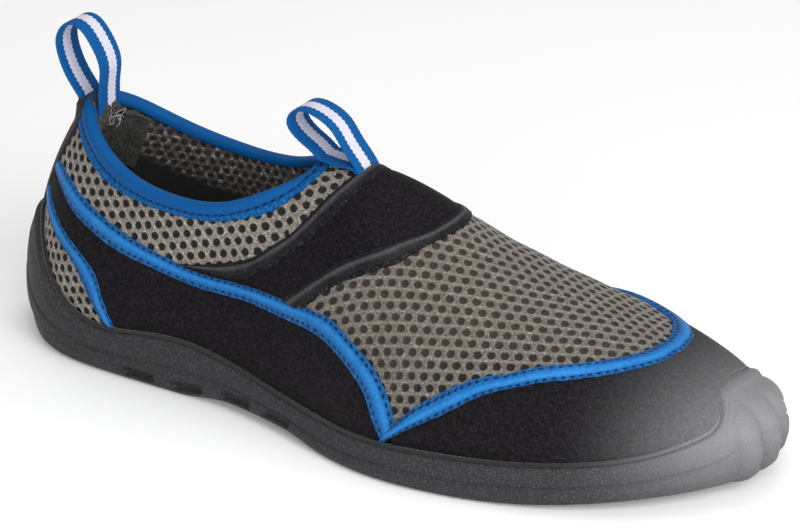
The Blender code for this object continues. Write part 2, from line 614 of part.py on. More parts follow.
def tape_rows(table, steps, mirrored):
    """The two edges of a tape, read at even steps along its table."""
    row = np.linspace(0, 1, len(table["turn"]))
    at = np.linspace(0, 1, steps + 1)
    edges = [spline(row, table[key], at) for key in ("turn", "up", "low_turn", "low_up")]
    if mirrored:
        edges[0] = 360 - edges[0]
        edges[2] = 360 - edges[2]
    return [edges[0], np.clip(edges[1], 0, 1), edges[2], np.clip(edges[3], 0, 1)]


def tape_sections(edges, strips):
    """Closed cross-sections of a tape: a flat inner face and an outer face with eased corners."""
    turn, up, low_turn, low_up = edges
    under = [(i / strips, 0.0) for i in range(strips + 1)]
    over = [(i / strips, 1.0) for i in range(strips - 1, 0, -1)]
    corners = []
    for share, lift in under + [(1.0, 0.75), (0.84, 1.0)] + over + [(0.16, 1.0), (0.0, 0.75)]:
        at_turn = turn + (low_turn - turn) * share
        height = GAP + TAPE_THICKNESS * lift
        corners.append(on_upper(at_turn, up + (low_up - up) * share, height + 0 * at_turn))
    return np.stack(corners, 1)


def build_tape(name, table, steps, finish, collection, mirrored=False, strips=2):
    """Tape sewn on the upper along one side."""
    sections = tape_sections(tape_rows(table, steps, mirrored), strips)
    numbers = np.arange(sections.shape[0] * sections.shape[1]).reshape(sections.shape[:2])
    return add_solid(name, sections.reshape(-1, 3), tube_faces(numbers), finish, collection)


def build_saddle_tape(name, table, steps, finish, collection):
    """Tape that climbs one side, crosses the ridge and goes down the other."""
    left = tape_sections(tape_rows(table, steps, False), 2)
    right = tape_sections(tape_rows(table, steps, True), 2)[::-1][1:]
    sections = np.concatenate([left, right])
    numbers = np.arange(sections.shape[0] * sections.shape[1]).reshape(sections.shape[:2])
    return add_solid(name, sections.reshape(-1, 3), tube_faces(numbers), finish, collection)


def build_webbing(name, path, collection):
    """Webbing strip of even width across the shoe, carried along a path of x and z."""
    path = np.asarray(path, float)
    row = np.linspace(0, 1, len(path))
    at = np.linspace(0, 1, 3 * (len(path) - 1) + 1)
    x = spline(row, path[:, 0], at)
    z = spline(row, path[:, 1], at)
    dx = np.gradient(x)
    dz = np.gradient(z)
    length = np.hypot(dx, dz)
    sx = -dz / length * WEBBING_THICKNESS / 2
    sz = dx / length * WEBBING_THICKNESS / 2
    half = 0 * x + WEBBING_WIDTH / 2
    ring = [np.stack([x + sx, -half, z + sz], -1), np.stack([x + sx, half, z + sz], -1),
            np.stack([x - sx, half, z - sz], -1), np.stack([x - sx, -half, z - sz], -1)]
    grid = np.stack(ring, 1)
    numbers = np.arange(grid.shape[0] * 4).reshape(-1, 4)
    return add_solid(name, grid.reshape(-1, 3), tube_faces(numbers), "webbing", collection)


def loop_points(table, length, fold):
    """The free run of a loop, in x and z, from its table and the collar's fold."""
    return [fold + length * np.array([run, rise]) for run, rise in zip(table["run"], table["rise"])]


def build_heel_loop(collection):
    """Heel pull loop: its tails hang down on both faces of the binding at the heel."""
    over = GAP + BINDING_THICKNESS + GAP + WEBBING_THICKNESS / 2
    inside = -UPPER_WALL - over - INSIDE_GAP - HEEL_LOOP_STANDOFF
    ups = np.array([0.80, 0.90, 1.0])
    front = on_upper(np.zeros(3), ups, np.full(3, inside))[:, ::2]
    back = on_upper(np.zeros(3), ups, np.full(3, over))[:, ::2]
    fold = np.array([COLLAR_REAR_X, HEEL_HEIGHT])
    path = [*front, *loop_points(HEEL_LOOP, HEEL_LOOP_LENGTH, fold), *back[::-1]]
    return build_webbing("heel_pull_loop", path, collection)


def build_instep_loop(collection):
    """Instep pull loop: both tails lie on the saddle in front of the throat, one on the other."""
    over = GAP + BINDING_THICKNESS + GAP + WEBBING_THICKNESS / 2
    flat = GAP + WEBBING_THICKNESS / 2
    low_tail = on_upper(THROAT_TURN + np.array([8.3, 6.6, 4.6, 2.5]), np.ones(4),
                        np.array([flat, flat, over, over]))[:, ::2]
    high_tail = on_upper(THROAT_TURN + np.array([7.5, 8.3]), np.ones(2),
                         np.full(2, flat + WEBBING_THICKNESS + GAP))[:, ::2]
    fold = np.array([THROAT_X, float(top_line(THROAT_TURN)[2])])
    path = [*low_tail, *loop_points(INSTEP_LOOP, INSTEP_LOOP_LENGTH, fold), *high_tail]
    return build_webbing("instep_pull_loop", path, collection)


def main():
    clear_scene()
    shoe = bpy.data.collections.new("water_shoe")
    cutters = bpy.data.collections.new("cutters")
    bpy.context.scene.collection.children.link(shoe)
    bpy.context.scene.collection.children.link(cutters)
    build_outsole(shoe, cutters)
    build_insole(shoe)
    build_upper(shoe)
    build_binding(shoe)
    build_tape("heel_strip", HEEL_STRIP, 6, "black", shoe, strips=4)
    build_tape("side_tape_outer", SIDE_TAPE, 24, "blue", shoe)
    build_tape("side_tape_inner", SIDE_TAPE, 24, "blue", shoe, mirrored=True)
    build_tape("vamp_tape", VAMP_TAPE, 60, "blue", shoe)
    build_tape("heel_tape_outer", HEEL_TAPE, 12, "blue", shoe)
    build_tape("heel_tape_inner", HEEL_TAPE, 12, "blue", shoe, mirrored=True)
    build_saddle_tape("saddle_rear_tape", SADDLE_REAR_TAPE, 20, "black", shoe)
    build_saddle_tape("saddle_front_tape", SADDLE_FRONT_TAPE, 14, "black", shoe)
    build_heel_loop(shoe)
    build_instep_loop(shoe)


main()
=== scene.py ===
import math

import bmesh
import bpy
import numpy as np
from mathutils import Matrix, Vector


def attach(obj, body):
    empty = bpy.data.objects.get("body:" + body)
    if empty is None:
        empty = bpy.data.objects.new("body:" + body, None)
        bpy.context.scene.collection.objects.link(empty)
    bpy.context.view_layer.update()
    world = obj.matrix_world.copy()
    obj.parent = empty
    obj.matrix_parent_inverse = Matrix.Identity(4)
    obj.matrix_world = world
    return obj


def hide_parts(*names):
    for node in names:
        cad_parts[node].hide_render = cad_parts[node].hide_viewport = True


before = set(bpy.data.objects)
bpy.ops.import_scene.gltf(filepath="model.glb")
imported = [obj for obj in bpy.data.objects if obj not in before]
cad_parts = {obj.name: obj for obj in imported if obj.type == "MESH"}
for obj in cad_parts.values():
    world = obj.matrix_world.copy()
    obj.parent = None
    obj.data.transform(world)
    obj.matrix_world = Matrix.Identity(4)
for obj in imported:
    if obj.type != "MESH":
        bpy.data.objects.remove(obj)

bl_info = {
    "name": "Water Shoe",
    "version": (1, 0, 0),
    "blender": (4, 5, 0),
    "location": "View3D > Sidebar > Water Shoe",
    "description": "Dresses the frame of a slip-on water shoe in mesh, foam cloth, tape, webbing and rubber",
    "category": "Object",
}

# Last and its sections: named values that part.py has too, but for BLEND_LEAST
LAST_LENGTH = 0.276
BALL_WIDTH = 0.096
HEEL_HEIGHT = 0.087
INSTEP_HEIGHT = 0.083
COLLAR_REAR_X = -0.1135
THROAT_X = -0.0205
THROAT_TURN = 86.0
COLLAR_HALF_WIDTH = 0.0242
COLLAR_REAR_POWER = 2.1
COLLAR_FRONT_POWER = 2.4
APEX_X = 0.095
APEX_SWING = 0.006
SLOPE_STEP = 0.01
SLOPE_FADE = 0.2
BLEND_TURN = 9.0
BLEND_REACH = 12.0
BLEND_LEAST = 0.02
RIM_NORMAL = 0.96
RIDGE_SHARE = 0.06
RIDGE_TURN = 5.0

# Sole
FLOOR_THICKNESS = 0.008
TOE_SPRING = 0.006
TOE_SPRING_FROM = 0.69
HEEL_BEVEL = 0.0035
ARCH_RISE = 0.0025
LIP_HEIGHT = 0.0125
WALL_THICKNESS = 0.0046
BUMPER_RISE = 0.008
BUMPER_RAMP = 4.0
BUMPER_SCALLOP = 0.25
BUMPER_START = 168.0
BUMPER_LOBE = 9.0
BUMPER_LOBES = 4
HEEL_PROUD = 0.0014
CHANNEL_WIDTH = 0.0028
CHANNEL_DEPTH = 0.0018
CHANNEL_SWEEP = 0.006
SLOT_LENGTH = 0.0125
SLOT_HEIGHT = 0.0022
SLOT_DEPTH = 0.0022
SLOT_Z = 0.0038

# Cloth, foam and trim; the webbing is wider here than its solid
UPPER_WALL = 0.002
INSOLE_THICKNESS = 0.004
BINDING_THICKNESS = 0.0011
WEBBING_WIDTH = 0.0120
WEBBING_THICKNESS = 0.0012
GAP = 0.0003

# Section tables: widths are shares of BALL_WIDTH, heights of the height that their name gives
OUTLINE = {
    "station": (0.00, 0.02, 0.07, 0.16, 0.30, 0.44, 0.58, 0.70, 0.80, 0.90, 0.965, 1.00),
    "lateral": (0.000, 0.114, 0.248, 0.307, 0.324, 0.376, 0.492, 0.492, 0.430, 0.303, 0.145, -0.088),
    "medial": (0.000, 0.114, 0.229, 0.318, 0.322, 0.302, 0.396, 0.482, 0.503, 0.430, 0.310, 0.088),
}
PROFILE = {
    "station": (0.00, 0.08, 0.20, 0.32, 0.44, 0.56, 0.70, 0.82, 0.92, 1.00),
    "of_heel": (1.000, 0.880, 0.796, 0.400, 0.000, 0.000, 0.000, 0.000, 0.000, 0.000),
    "of_instep": (0.000, 0.000, 0.000, 0.430, 0.965, 1.000, 0.846, 0.692, 0.594, 0.530),
    "bulge": (0.068, 0.068, 0.057, 0.045, 0.056, 0.056, 0.054, 0.047, 0.035, 0.035),
    "rise": (0.454, 0.408, 0.333, 0.315, 0.333, 0.313, 0.301, 0.301, 0.247, 0.228),
    "reach": (0.20, 0.02, 0.00, 0.08, 0.46, 0.50, 0.50, 0.54, 0.62, 0.70),
    "drop": (0.076, 0.222, 0.243, 0.217, 0.040, 0.000, 0.000, 0.000, 0.000, 0.000),
}
# Collar: how far round its own oval, in degrees from the heel, the edge is at each turn
COLLAR_SWEEP = {
    "turn": (0.0, 20.0, 40.0, 58.0, 68.0, 74.0, 78.0, 81.0, 83.5, THROAT_TURN),
    "sweep": (0.0, 31.0, 63.5, 96.5, 118.5, 135.0, 149.5, 163.0, 174.0, 180.0),
}
LIP = {
    "station": (0.00, 0.03, 0.10, 0.25, 0.45, 0.65, 0.85, 0.95, 1.00),
    "of_lip": (3.50, 3.00, 1.66, 1.52, 1.02, 0.98, 1.24, 1.66, 2.12),
}
# Outer wall of the sole from the lip down: share of the wall's height, share of its thickness.
# Its step is shallower than the solid's.
SOLE_WALL = {
    "height": (0.95, 0.78, 0.56, 0.51, 0.46, 0.28, 0.09, 0.00),
    "thick": (0.48, 0.68, 0.80, 0.76, 0.88, 1.00, 0.84, 0.42),
}
HEEL_CHANNELS = (0.100, 0.153, 0.206, 0.259)
BALL_CHANNELS = (0.570, 0.620, 0.670, 0.720, 0.770, 0.820, 0.870)
SLOT_STATIONS = (0.224, 0.300, 0.379, 0.452)
# Tapes: each row gives the turn and the share up the profile of the tape's two edges
SIDE_TAPE = {
    "turn": (12.0, 22.5, 29.5, 39.2, 47.5, 58.8, 70.8, 80.8, 91.0, 95.2, 99.8, 103.2, 105.2, 106.0),
    "up": (0.580, 0.626, 0.646, 0.662, 0.649, 0.608, 0.519, 0.428, 0.403, 0.393, 0.352, 0.300,
           0.228, 0.160),
    "low_turn": (12.0, 22.0, 30.5, 38.5, 47.0, 58.0, 71.5, 81.2, 88.8, 94.2, 98.5, 101.0, 102.2, 103.5),
    "low_up": (0.522, 0.545, 0.547, 0.550, 0.537, 0.515, 0.435, 0.362, 0.338, 0.318, 0.272, 0.218,
               0.145, 0.074),
}
VAMP_TAPE = {
    "turn": (104.4, 109.0, 112.5, 119.5, 124.5, 129.8, 135.2, 142.0, 155.0, 166.0, 177.5, 188.5,
             198.8, 211.0, 220.0, 229.0, 236.0, 241.0, 247.5, 251.0, 255.6),
    "up": (0.070, 0.160, 0.217, 0.338, 0.398, 0.455, 0.505, 0.570, 0.693, 0.770, 0.815, 0.790,
           0.718, 0.580, 0.500, 0.445, 0.395, 0.335, 0.217, 0.160, 0.070),
    "low_turn": (106.6, 109.6, 113.2, 118.8, 124.5, 130.0, 136.2, 143.3, 153.0, 163.0, 175.0, 188.0,
                 200.0, 211.0, 219.0, 229.0, 236.0, 241.2, 246.8, 250.4, 253.4),
    "low_up": (0.168, 0.245, 0.315, 0.405, 0.465, 0.533, 0.594, 0.665, 0.760, 0.842, 0.898, 0.878,
               0.800, 0.680, 0.590, 0.522, 0.464, 0.405, 0.315, 0.245, 0.168),
}
HEEL_TAPE = {
    "turn": (12.0, 17.0, 26.8, 37.2, 43.8, 46.4, 49.0),
    "up": (0.455, 0.455, 0.446, 0.420, 0.352, 0.270, 0.170),
    "low_turn": (12.0, 16.0, 27.5, 36.2, 40.8, 44.2, 46.6),
    "low_up": (0.405, 0.398, 0.383, 0.348, 0.283, 0.205, 0.150),
}
SADDLE_REAR_TAPE = {
    "turn": (62.0, 66.4, 70.5, 75.5, 78.8, 82.5, 86.0, 88.3, 90.8, 93.2, 95.3),
    "up": (0.603, 0.618, 0.615, 0.600, 0.618, 0.645, 0.705, 0.760, 0.818, 0.897, 1.000),
    "low_turn": (62.6, 67.1, 72.8, 76.3, 80.5, 84.5, 88.2, 92.0, 94.0, 96.0, 98.4),
    "low_up": (0.592, 0.562, 0.512, 0.510, 0.530, 0.573, 0.635, 0.713, 0.782, 0.868, 1.000),
}
SADDLE_FRONT_TAPE = {
    "turn": (85.3, 89.6, 93.5, 97.2, 100.8, 104.5, 108.5, 112.3),
    "up": (0.432, 0.492, 0.557, 0.618, 0.680, 0.756, 0.850, 1.000),
    "low_turn": (89.8, 93.8, 98.0, 102.0, 105.0, 108.2, 111.5, 115.4),
    "low_up": (0.415, 0.492, 0.557, 0.625, 0.685, 0.775, 0.870, 1.000),
}
# Binding: its fold as a share of the way to the throat, and the turn and share up of its lower edge
BINDING = {
    "fold": (0.000, 0.123, 0.246, 0.380, 0.540, 0.700, 0.790, 0.850, 0.900, 0.940, 0.970, 0.990, 1.000),
    "turn": (0.0, 10.6, 21.0, 32.2, 45.4, 58.6, 66.4, 72.4, 77.8, 82.2, 86.0, 88.3, 89.4),
    "up": (0.820, 0.822, 0.824, 0.834, 0.880, 0.900, 0.893, 0.860, 0.824, 0.845, 0.893, 0.955, 1.000),
}
# Pull loops in side view from the collar's fold: run along x and rise, shares of the loop's length
HEEL_LOOP = {
    "run": (0.170, 0.127, 0.013, -0.143, -0.317, -0.450, -0.483, -0.383, -0.220, -0.110),
    "rise": (0.233, 0.523, 0.783, 0.957, 0.973, 0.850, 0.660, 0.420, 0.233, 0.080),
}
INSTEP_LOOP = {
    "run": (0.080, -0.033, -0.183, -0.317, -0.310, -0.167, 0.050, 0.250, 0.390, 0.470),
    "rise": (0.200, 0.283, 0.373, 0.500, 0.633, 0.727, 0.700, 0.583, 0.400, 0.240),
}
HEEL_LOOP_LENGTH = 0.030
HEEL_LOOP_STANDOFF = 0.0020
HEEL_LOOP_FRONT_UPS = np.array([0.80, 0.90, 1.0])
HEEL_LOOP_BACK_UPS = np.array([0.84, 0.90, 0.96])
HEEL_LOOP_FOOT_LIFT = 0.0006
INSTEP_LOOP_LENGTH = 0.030
INSIDE_GAP = 0.0005

# The two sides of the shoe, and whether a piece there is the outer side's mirrored
SIDES = (("outer", False), ("inner", True))

# Distance in pitches between every second row of holes of the honeycomb
HOLE_ROW = math.sqrt(3)

# Fineness of the dressed pieces
SOLE_COLUMNS = 420
WALL_ROWS = 54
TREAD_STRIPS = 36
FLOOR_STRIPS = 4
VAMP_COLUMNS = 232
VAMP_ROWS = 190
QUARTER_COLUMNS = 270
QUARTER_ROWS = 110

# Relief of the sole, the cloth and the tapes
LIP_EDGE = 0.94
LIP_ROUND = 0.0006
LOBE_PROUD = 0.0034
LIP_SOFTNESS = 1.6
BUMPER_END = BUMPER_START + BUMPER_LOBE * BUMPER_LOBES
STEP_SHARE = 0.51
STEP_CREASE = 0.04
HOLE_DEPTH = 0.0009
RIM_HEIGHT = 0.00012
PIT_DEPTH = 0.00010
EDGE_TUCK = 0.0012
FOAM_CROWN = 0.0005
RIDGE_SLOPE = math.radians(19.0)
QUARTER_CLIMB = math.radians(15.0)
VAMP_START = 88.6
# Sizes of the flecks in tape and binding and in foam cloth, and of the nap's fibres
FLECK = 0.00110
FOAM_FLECK = 0.00120
NAP = 0.00030
LOOP_LOW_TURNS = np.array([9.8, 8.2, 5.6, 2.6])
LOOP_HIGH_TURNS = np.array([8.7, 10.2])
# How far the collar's rim is let down from the top line, as a share up the upper, the share up
# where that starts, and the turns between which it fades towards the throat
RIM_DROP = 0.026
RIM_DROP_FROM = 0.84
RIM_DROP_TURNS = (66.0, 84.0)
# How far each pull loop is moved from its table along x and z, at its crown
HEEL_LOOP_SHIFT = np.array([0.0030, -0.0026])
INSTEP_LOOP_SHIFT = np.array([0.0005, -0.0022])
# Heel strip and the patch inside the heel: half width in turns, shares up of foot and top, lifts
STRIP_TURN = 12.6
STRIP_FOOT = 0.36
STRIP_TOP = 0.985
STRIP_LIFT = 0.0013
STRIP_OVER_TAIL = 0.0022
PATCH_TURN = 27.0
PATCH_FOOT = 0.52
PATCH_DEPTH = 0.0058
PATCH_LIFT = -0.0030
PATCH_EDGE_LIFT = -0.0016
PATCH_LAP = 0.0035
PATCH_SAG = 0.0040
THREADS = 16
THREAD_RADIUS = 0.00014
THREAD_SWING = 0.0011
THREAD_LEAN = 0.0012
# A thread that starts farther out than this share of the patch's half width starts lower too
THREAD_SIDE = 0.35
BEAD_RADIUS = 0.0008
TAPE_LIFT = 0.0011
# Section of a tape: share of the width and share of the lift, over the top and back under.
# Beyond EDGE_SHARE of the half width the edges waver.
EDGE_SHARE = 0.88
TAPE_SHARES = (0.0, 0.02, 0.06, 0.11, 0.16, 0.20, 0.26, 0.36, 0.50, 0.64, 0.74, 0.80, 0.84, 0.89, 0.94, 0.98,
               1.0, 0.75, 0.25)
TAPE_RISES = (-0.3, 0.35, 0.72, 0.80, 0.66, 0.78, 1.0, 1.12, 1.16, 1.12, 1.0, 0.78, 0.66, 0.80, 0.72, 0.35,
              -0.3, -0.4, -0.4)
# Steps by which a tape runs on past the ends of its table, under its neighbour or behind the lip
TAPE_REACH = {
    "side_tape_outer": (0, 8), "side_tape_inner": (0, 8), "vamp_tape": (8, 8),
    "heel_tape_outer": (0, 12), "heel_tape_inner": (0, 12),
    "saddle_front_tape": (9, 0), "saddle_rear_tape": (5, 0),
}
# Outer flange of the binding: share of the way down and share of its thickness
BINDING_SHARES = (1.0, 0.985, 0.94, 0.84, 0.72, 0.64, 0.57, 0.52, 0.47, 0.41, 0.32, 0.21, 0.10, 0.0)
BINDING_LIFTS = (-0.4, 0.30, 0.52, 0.60, 0.60, 0.58, 0.50, 0.40, 0.55, 0.78, 0.98, 1.08, 1.08, 1.0)
SEAM_DOWN = 0.52
BINDING_INNER_SHARES = (0.0, 0.07, 0.14, 0.20, 0.25, 0.27)
# Painted glare at the toe, a pale bloom of light painted into the colour: where along the shoe it starts and
# is full
GLARE_FROM = 0.080
GLARE_TO = 0.145
GLARE_POWER = 1.8
# Soft creases: middle, way, half length, half width, depth, in metres
SOFT_CREASES = (
    ((0.012, -0.026, 0.063), (1.0, 0.3, 0.2), 0.012, 0.004, 0.0004),
    ((-0.075, -0.036, 0.040), (0.3, 0.0, 1.0), 0.012, 0.004, 0.0004),
    ((0.045, -0.043, 0.030), (0.6, 0.0, 1.0), 0.010, 0.004, 0.0003),
)

# Stage
IMAGE_WIDTH = 800
CAMERA_ANGLES = (33.28, 25.09, -1.5)
CAMERA_TARGET = (0.00758, 0.00262, 0.04893)
CAMERA_DISTANCE = 1.290
CAMERA_FOCAL = 3875.0
WORLD_LIGHT = 0.42
FLOOR_TONE = (0.93, 0.93, 0.93)
FLOOR_GLOW = 0.10
FLOOR_HALF = 3.0
SENSOR_WIDTH = 36.0
LIGHT_AIM = (0.0, 0.0, 0.04)
LIGHTS = (
    ("key_light", (0.9, -0.7, 0.9), (0.8, 0.6), 9.0),
    ("toe_light", (0.75, -0.20, 0.35), (0.4, 0.4), 3.0),
    ("fill_light", (0.1, -1.3, 0.5), (1.0, 0.6), 4.0),
    ("top_light", (-0.2, 0.4, 1.3), (1.2, 0.8), 5.0),
)


def smooth(x, low, high):
    """Smooth step from 0 at low to 1 at high."""
    t = np.clip((np.asarray(x, float) - low) / (high - low), 0, 1)
    return t * t * (3 - 2 * t)


def spline(xs, ys, x):
    """Natural cubic spline through the points (xs, ys), read at x."""
    xs = np.asarray(xs, float)
    ys = np.asarray(ys, float)
    step = np.diff(xs)
    matrix = np.eye(len(xs))
    right = np.zeros(len(xs))
    for i in range(1, len(xs) - 1):
        matrix[i, i - 1:i + 2] = (step[i - 1], 2 * (step[i - 1] + step[i]), step[i])
        right[i] = 6 * ((ys[i + 1] - ys[i]) / step[i] - (ys[i] - ys[i - 1]) / step[i - 1])
    bend = np.linalg.solve(matrix, right)
    x = np.clip(np.asarray(x, float), xs[0], xs[-1])
    k = np.clip(np.searchsorted(xs, x, side="right") - 1, 0, len(xs) - 2)
    a = (xs[k + 1] - x) / step[k]
    b = 1 - a
    curve = (a ** 3 - a) * bend[k] + (b ** 3 - b) * bend[k + 1]
    return a * ys[k] + b * ys[k + 1] + curve * step[k] ** 2 / 6


def unit(vectors):
    """Vectors divided by their length."""
    return vectors / np.linalg.norm(vectors, axis=-1, keepdims=True)


def lengths(line):
    """Length along a line of points, from 0 at its first point."""
    return np.append(0, np.cumsum(np.linalg.norm(np.diff(line, axis=0), axis=-1)))


def station_at(x):
    """Share of the last's length behind a place along x."""
    return np.clip(x / LAST_LENGTH + 0.5, 0, 1)


def station_of(turn):
    """Share of the last's length behind a turn."""
    return (1 - np.cos(np.radians(turn))) / 2


def turn_of(station):
    """Turn on the outer side at a station."""
    return np.degrees(np.arccos(1 - 2 * np.asarray(station, float)))


def outline(turn):
    """x and y of the feather line, where the upper meets the sole."""
    turn = np.asarray(turn, float) % 360
    half = turn_of(OUTLINE["station"])
    knots = np.concatenate([half, 360 - half[-2::-1]])
    sides = np.concatenate([-np.array(OUTLINE["lateral"]), OUTLINE["medial"][-2::-1]]) * BALL_WIDTH
    knots = np.concatenate([knots[-4:-1] - 360, knots, knots[1:4] + 360])
    sides = np.concatenate([sides[-4:-1], sides, sides[1:4]])
    return (station_of(turn) - 0.5) * LAST_LENGTH, spline(knots, sides, turn)


def outward(turn):
    """Level unit vector that points out of the outline."""
    ax, ay = outline(turn - 0.5)
    bx, by = outline(turn + 0.5)
    length = np.hypot(bx - ax, by - ay)
    return (by - ay) / length, (ax - bx) / length


def top_height(station):
    """Height of the collar edge, and from the throat on of the vamp's ridge."""
    heel = spline(PROFILE["station"], PROFILE["of_heel"], station) * HEEL_HEIGHT
    return heel + spline(PROFILE["station"], PROFILE["of_instep"], station) * INSTEP_HEIGHT


def top_line(turn):
    """Collar edge behind the throat and vamp ridge in front of it: x, y, z and slope along x."""
    turn = np.asarray(turn, float) % 360
    station = station_of(turn)
    behind = np.minimum(turn, 360 - turn) < THROAT_TURN
    throat = station_of(THROAT_TURN)
    front = np.clip((station - throat) / (1 - throat), 0, 1)
    sweep_turn = np.append(COLLAR_SWEEP["turn"], 2 * THROAT_TURN - COLLAR_SWEEP["turn"][-2])
    sweep_angle = np.append(COLLAR_SWEEP["sweep"], COLLAR_SWEEP["sweep"][-2])
    sweep = np.radians(spline(sweep_turn, sweep_angle, np.minimum(np.minimum(turn, 360 - turn), THROAT_TURN)))
    half_length = (THROAT_X - COLLAR_REAR_X) / 2
    rear_x = COLLAR_REAR_X + half_length * (1 - np.cos(sweep))
    x = np.where(behind, rear_x, THROAT_X + front * (APEX_X - THROAT_X))
    power = np.where(sweep < math.pi / 2, COLLAR_REAR_POWER, COLLAR_FRONT_POWER)
    rounded = np.clip(1 - np.abs(np.cos(sweep)) ** power, 0, 1) ** (1 / power)
    rounded = np.where(behind, rounded, 0.0)
    y = np.where(turn < 180, -1.0, 1.0) * COLLAR_HALF_WIDTH * rounded + APEX_SWING * front ** 2
    pace = (APEX_X - THROAT_X) / (1 - throat)
    middle = np.minimum(station, 1 - SLOPE_STEP)
    slope = (top_height(middle + SLOPE_STEP) - top_height(middle - SLOPE_STEP)) / (2 * SLOPE_STEP) / pace
    return x, y, top_height(station), slope * smooth(front, 0.0, SLOPE_FADE)


def toe_rise(station):
    """How far the sole has lifted off the floor towards the toe."""
    return TOE_SPRING * smooth(station, TOE_SPRING_FROM, 1.0) ** 1.3


def section_point(turn, up):
    """Cubic section of the upper from the feather line (up 0) to the top line (up 1)."""
    if turn.ndim == 2 and (turn == turn[:, :1]).all():
        turn = turn[:, :1]
    station = station_of(turn)
    px, py = outline(turn)
    nx, ny = outward(turn)
    tx, ty, tz, slope = top_line(turn)
    low = FLOOR_THICKNESS + GAP + toe_rise(station)
    bulge = spline(PROFILE["station"], PROFILE["bulge"], station) * BALL_WIDTH
    rise = spline(PROFILE["station"], PROFILE["rise"], station) * INSTEP_HEIGHT
    reach = spline(PROFILE["station"], PROFILE["reach"], station)
    drop = spline(PROFILE["station"], PROFILE["drop"], station) * INSTEP_HEIGHT
    b0 = np.stack([px, py, low], -1)
    b1 = np.stack([px + nx * bulge, py + ny * bulge, low + rise], -1)
    back_x = reach * (px - tx)
    b2 = np.stack([tx + back_x, ty + reach * (py - ty), tz - drop + slope * back_x], -1)
    b3 = np.stack([tx, ty, tz], -1)
    t = up[..., None]
    return (1 - t) ** 3 * b0 + 3 * (1 - t) ** 2 * t * b1 + 3 * (1 - t) * t ** 2 * b2 + t ** 3 * b3


def upper_point(turn, up):
    """Outer face of the upper: its sections, blended with their neighbours beside the throat."""
    turn, up = np.broadcast_arrays(np.asarray(turn, float) % 360, np.asarray(up, float))
    side = np.minimum(turn, 360 - turn)
    up = up - RIM_DROP * smooth(up, RIM_DROP_FROM, 1.0) * (1 - smooth(side, *RIM_DROP_TURNS))
    from_throat = (side - THROAT_TURN) / BLEND_REACH
    spread = BLEND_TURN * (1 - up ** 8) * np.exp(-from_throat ** 2)
    point = section_point(turn, up)
    near = spread.reshape(len(spread), -1).max(1) > BLEND_LEAST if turn.ndim else spread > BLEND_LEAST
    if np.any(near):
        turn, up, spread = turn[near], up[near], spread[near]
        blend = 0.3 * section_point(turn, up)
        for shift, weight in ((0.5, 0.25), (1.0, 0.10)):
            blend = blend + weight * (
                section_point(turn + shift * spread, up) + section_point(turn - shift * spread, up))
        point[near] = blend
    return point


def upper_normal(turn, up):
    """Unit normal of the upper's outer face, out of the shoe."""
    turn, up = np.broadcast_arrays(np.asarray(turn, float), np.asarray(up, float))
    inner = np.minimum(up, RIM_NORMAL)
    along = upper_point(turn + 1.0, inner) - upper_point(turn - 1.0, inner)
    rising = upper_point(turn, inner + 0.01) - upper_point(turn, np.maximum(inner - 0.01, 0.0))
    normal = np.cross(along, rising)
    return unit(normal)


def upper_frame(turn, up):
    """Point and normal of the upper's outer face. Towards the ridge both sides agree on the normal."""
    turn, up = np.broadcast_arrays(np.asarray(turn, float) % 360, np.asarray(up, float))
    side = np.minimum(turn, 360 - turn)
    shared = 0.5 * smooth(up, 1 - RIDGE_SHARE, 1.0) * smooth(side, THROAT_TURN - RIDGE_TURN, THROAT_TURN)
    normal = upper_normal(turn, up)
    both = shared > 0
    if both.any():
        part = shared[both][:, None]
        normal[both] = normal[both] * (1 - part) + upper_normal(360 - turn[both], up[both]) * part
    return upper_point(turn, up), unit(normal)


def on_upper(turn, up, lift):
    """Points that lie lift above the upper's outer face."""
    point, normal = upper_frame(turn, up)
    return point + normal * np.asarray(lift)[..., None]


def lip_height(turn):
    """Height of the sole's lip: a tab up the heel, low along the sides and round lobes at the toe."""
    lip = spline(LIP["station"], LIP["of_lip"], station_of(turn)) * LIP_HEIGHT
    end = BUMPER_START + BUMPER_LOBE * BUMPER_LOBES
    rising = smooth(turn, BUMPER_START - BUMPER_RAMP, BUMPER_START + BUMPER_RAMP)
    cover = rising * (1 - smooth(turn, end - BUMPER_RAMP, end + BUMPER_RAMP))
    return lip + BUMPER_RISE * cover * (1 - BUMPER_SCALLOP * (1 - bumper(turn)))


def soft_lip(turn):
    """Lip height smoothed along the edge: the mean of five turns round about."""
    return sum(lip_height(turn + step * LIP_SOFTNESS) for step in (-2, -1, 0, 1, 2)) / 5


def bumper(turn):
    """Toe bumper: 0 away from it, and one rounded hump, up to 1, for each of its lobes."""
    share = (np.asarray(turn, float) - BUMPER_START) / BUMPER_LOBE
    hump = np.abs(np.sin(np.pi * share))
    return np.where((share > 0) & (share < BUMPER_LOBES), hump, 0.0)


def tread_height(station):
    """Underside of the sole: flat under heel and ball, raised at both ends and at the arch."""
    heel = HEEL_BEVEL * (1 - smooth(station, 0.0, 0.07))
    arch = ARCH_RISE * smooth(station, 0.28, 0.36) * (1 - smooth(station, 0.46, 0.54))
    return heel + arch + toe_rise(station)


def srgb(red, green, blue):
    """Linear colour of a screen colour whose parts run from 0 to 255."""
    parts = np.array([red, green, blue]) / 255
    return tuple(np.where(parts < 0.04045, parts / 12.92, ((parts + 0.055) / 1.055) ** 2.4).tolist())


# Grids of points made into pieces


def grid_corners(rows, columns, close_rows, close_columns):
    """Numbers of the four corners of every quad of a grid, wrapped round where it closes."""
    spots = np.arange(rows * columns).reshape(rows, columns)
    if close_rows:
        spots = np.concatenate([spots, spots[:1]])
    if close_columns:
        spots = np.concatenate([spots, spots[:, :1]], axis=1)
    return np.stack([spots[:-1, :-1], spots[1:, :-1], spots[1:, 1:], spots[:-1, 1:]], -1).reshape(-1, 4)


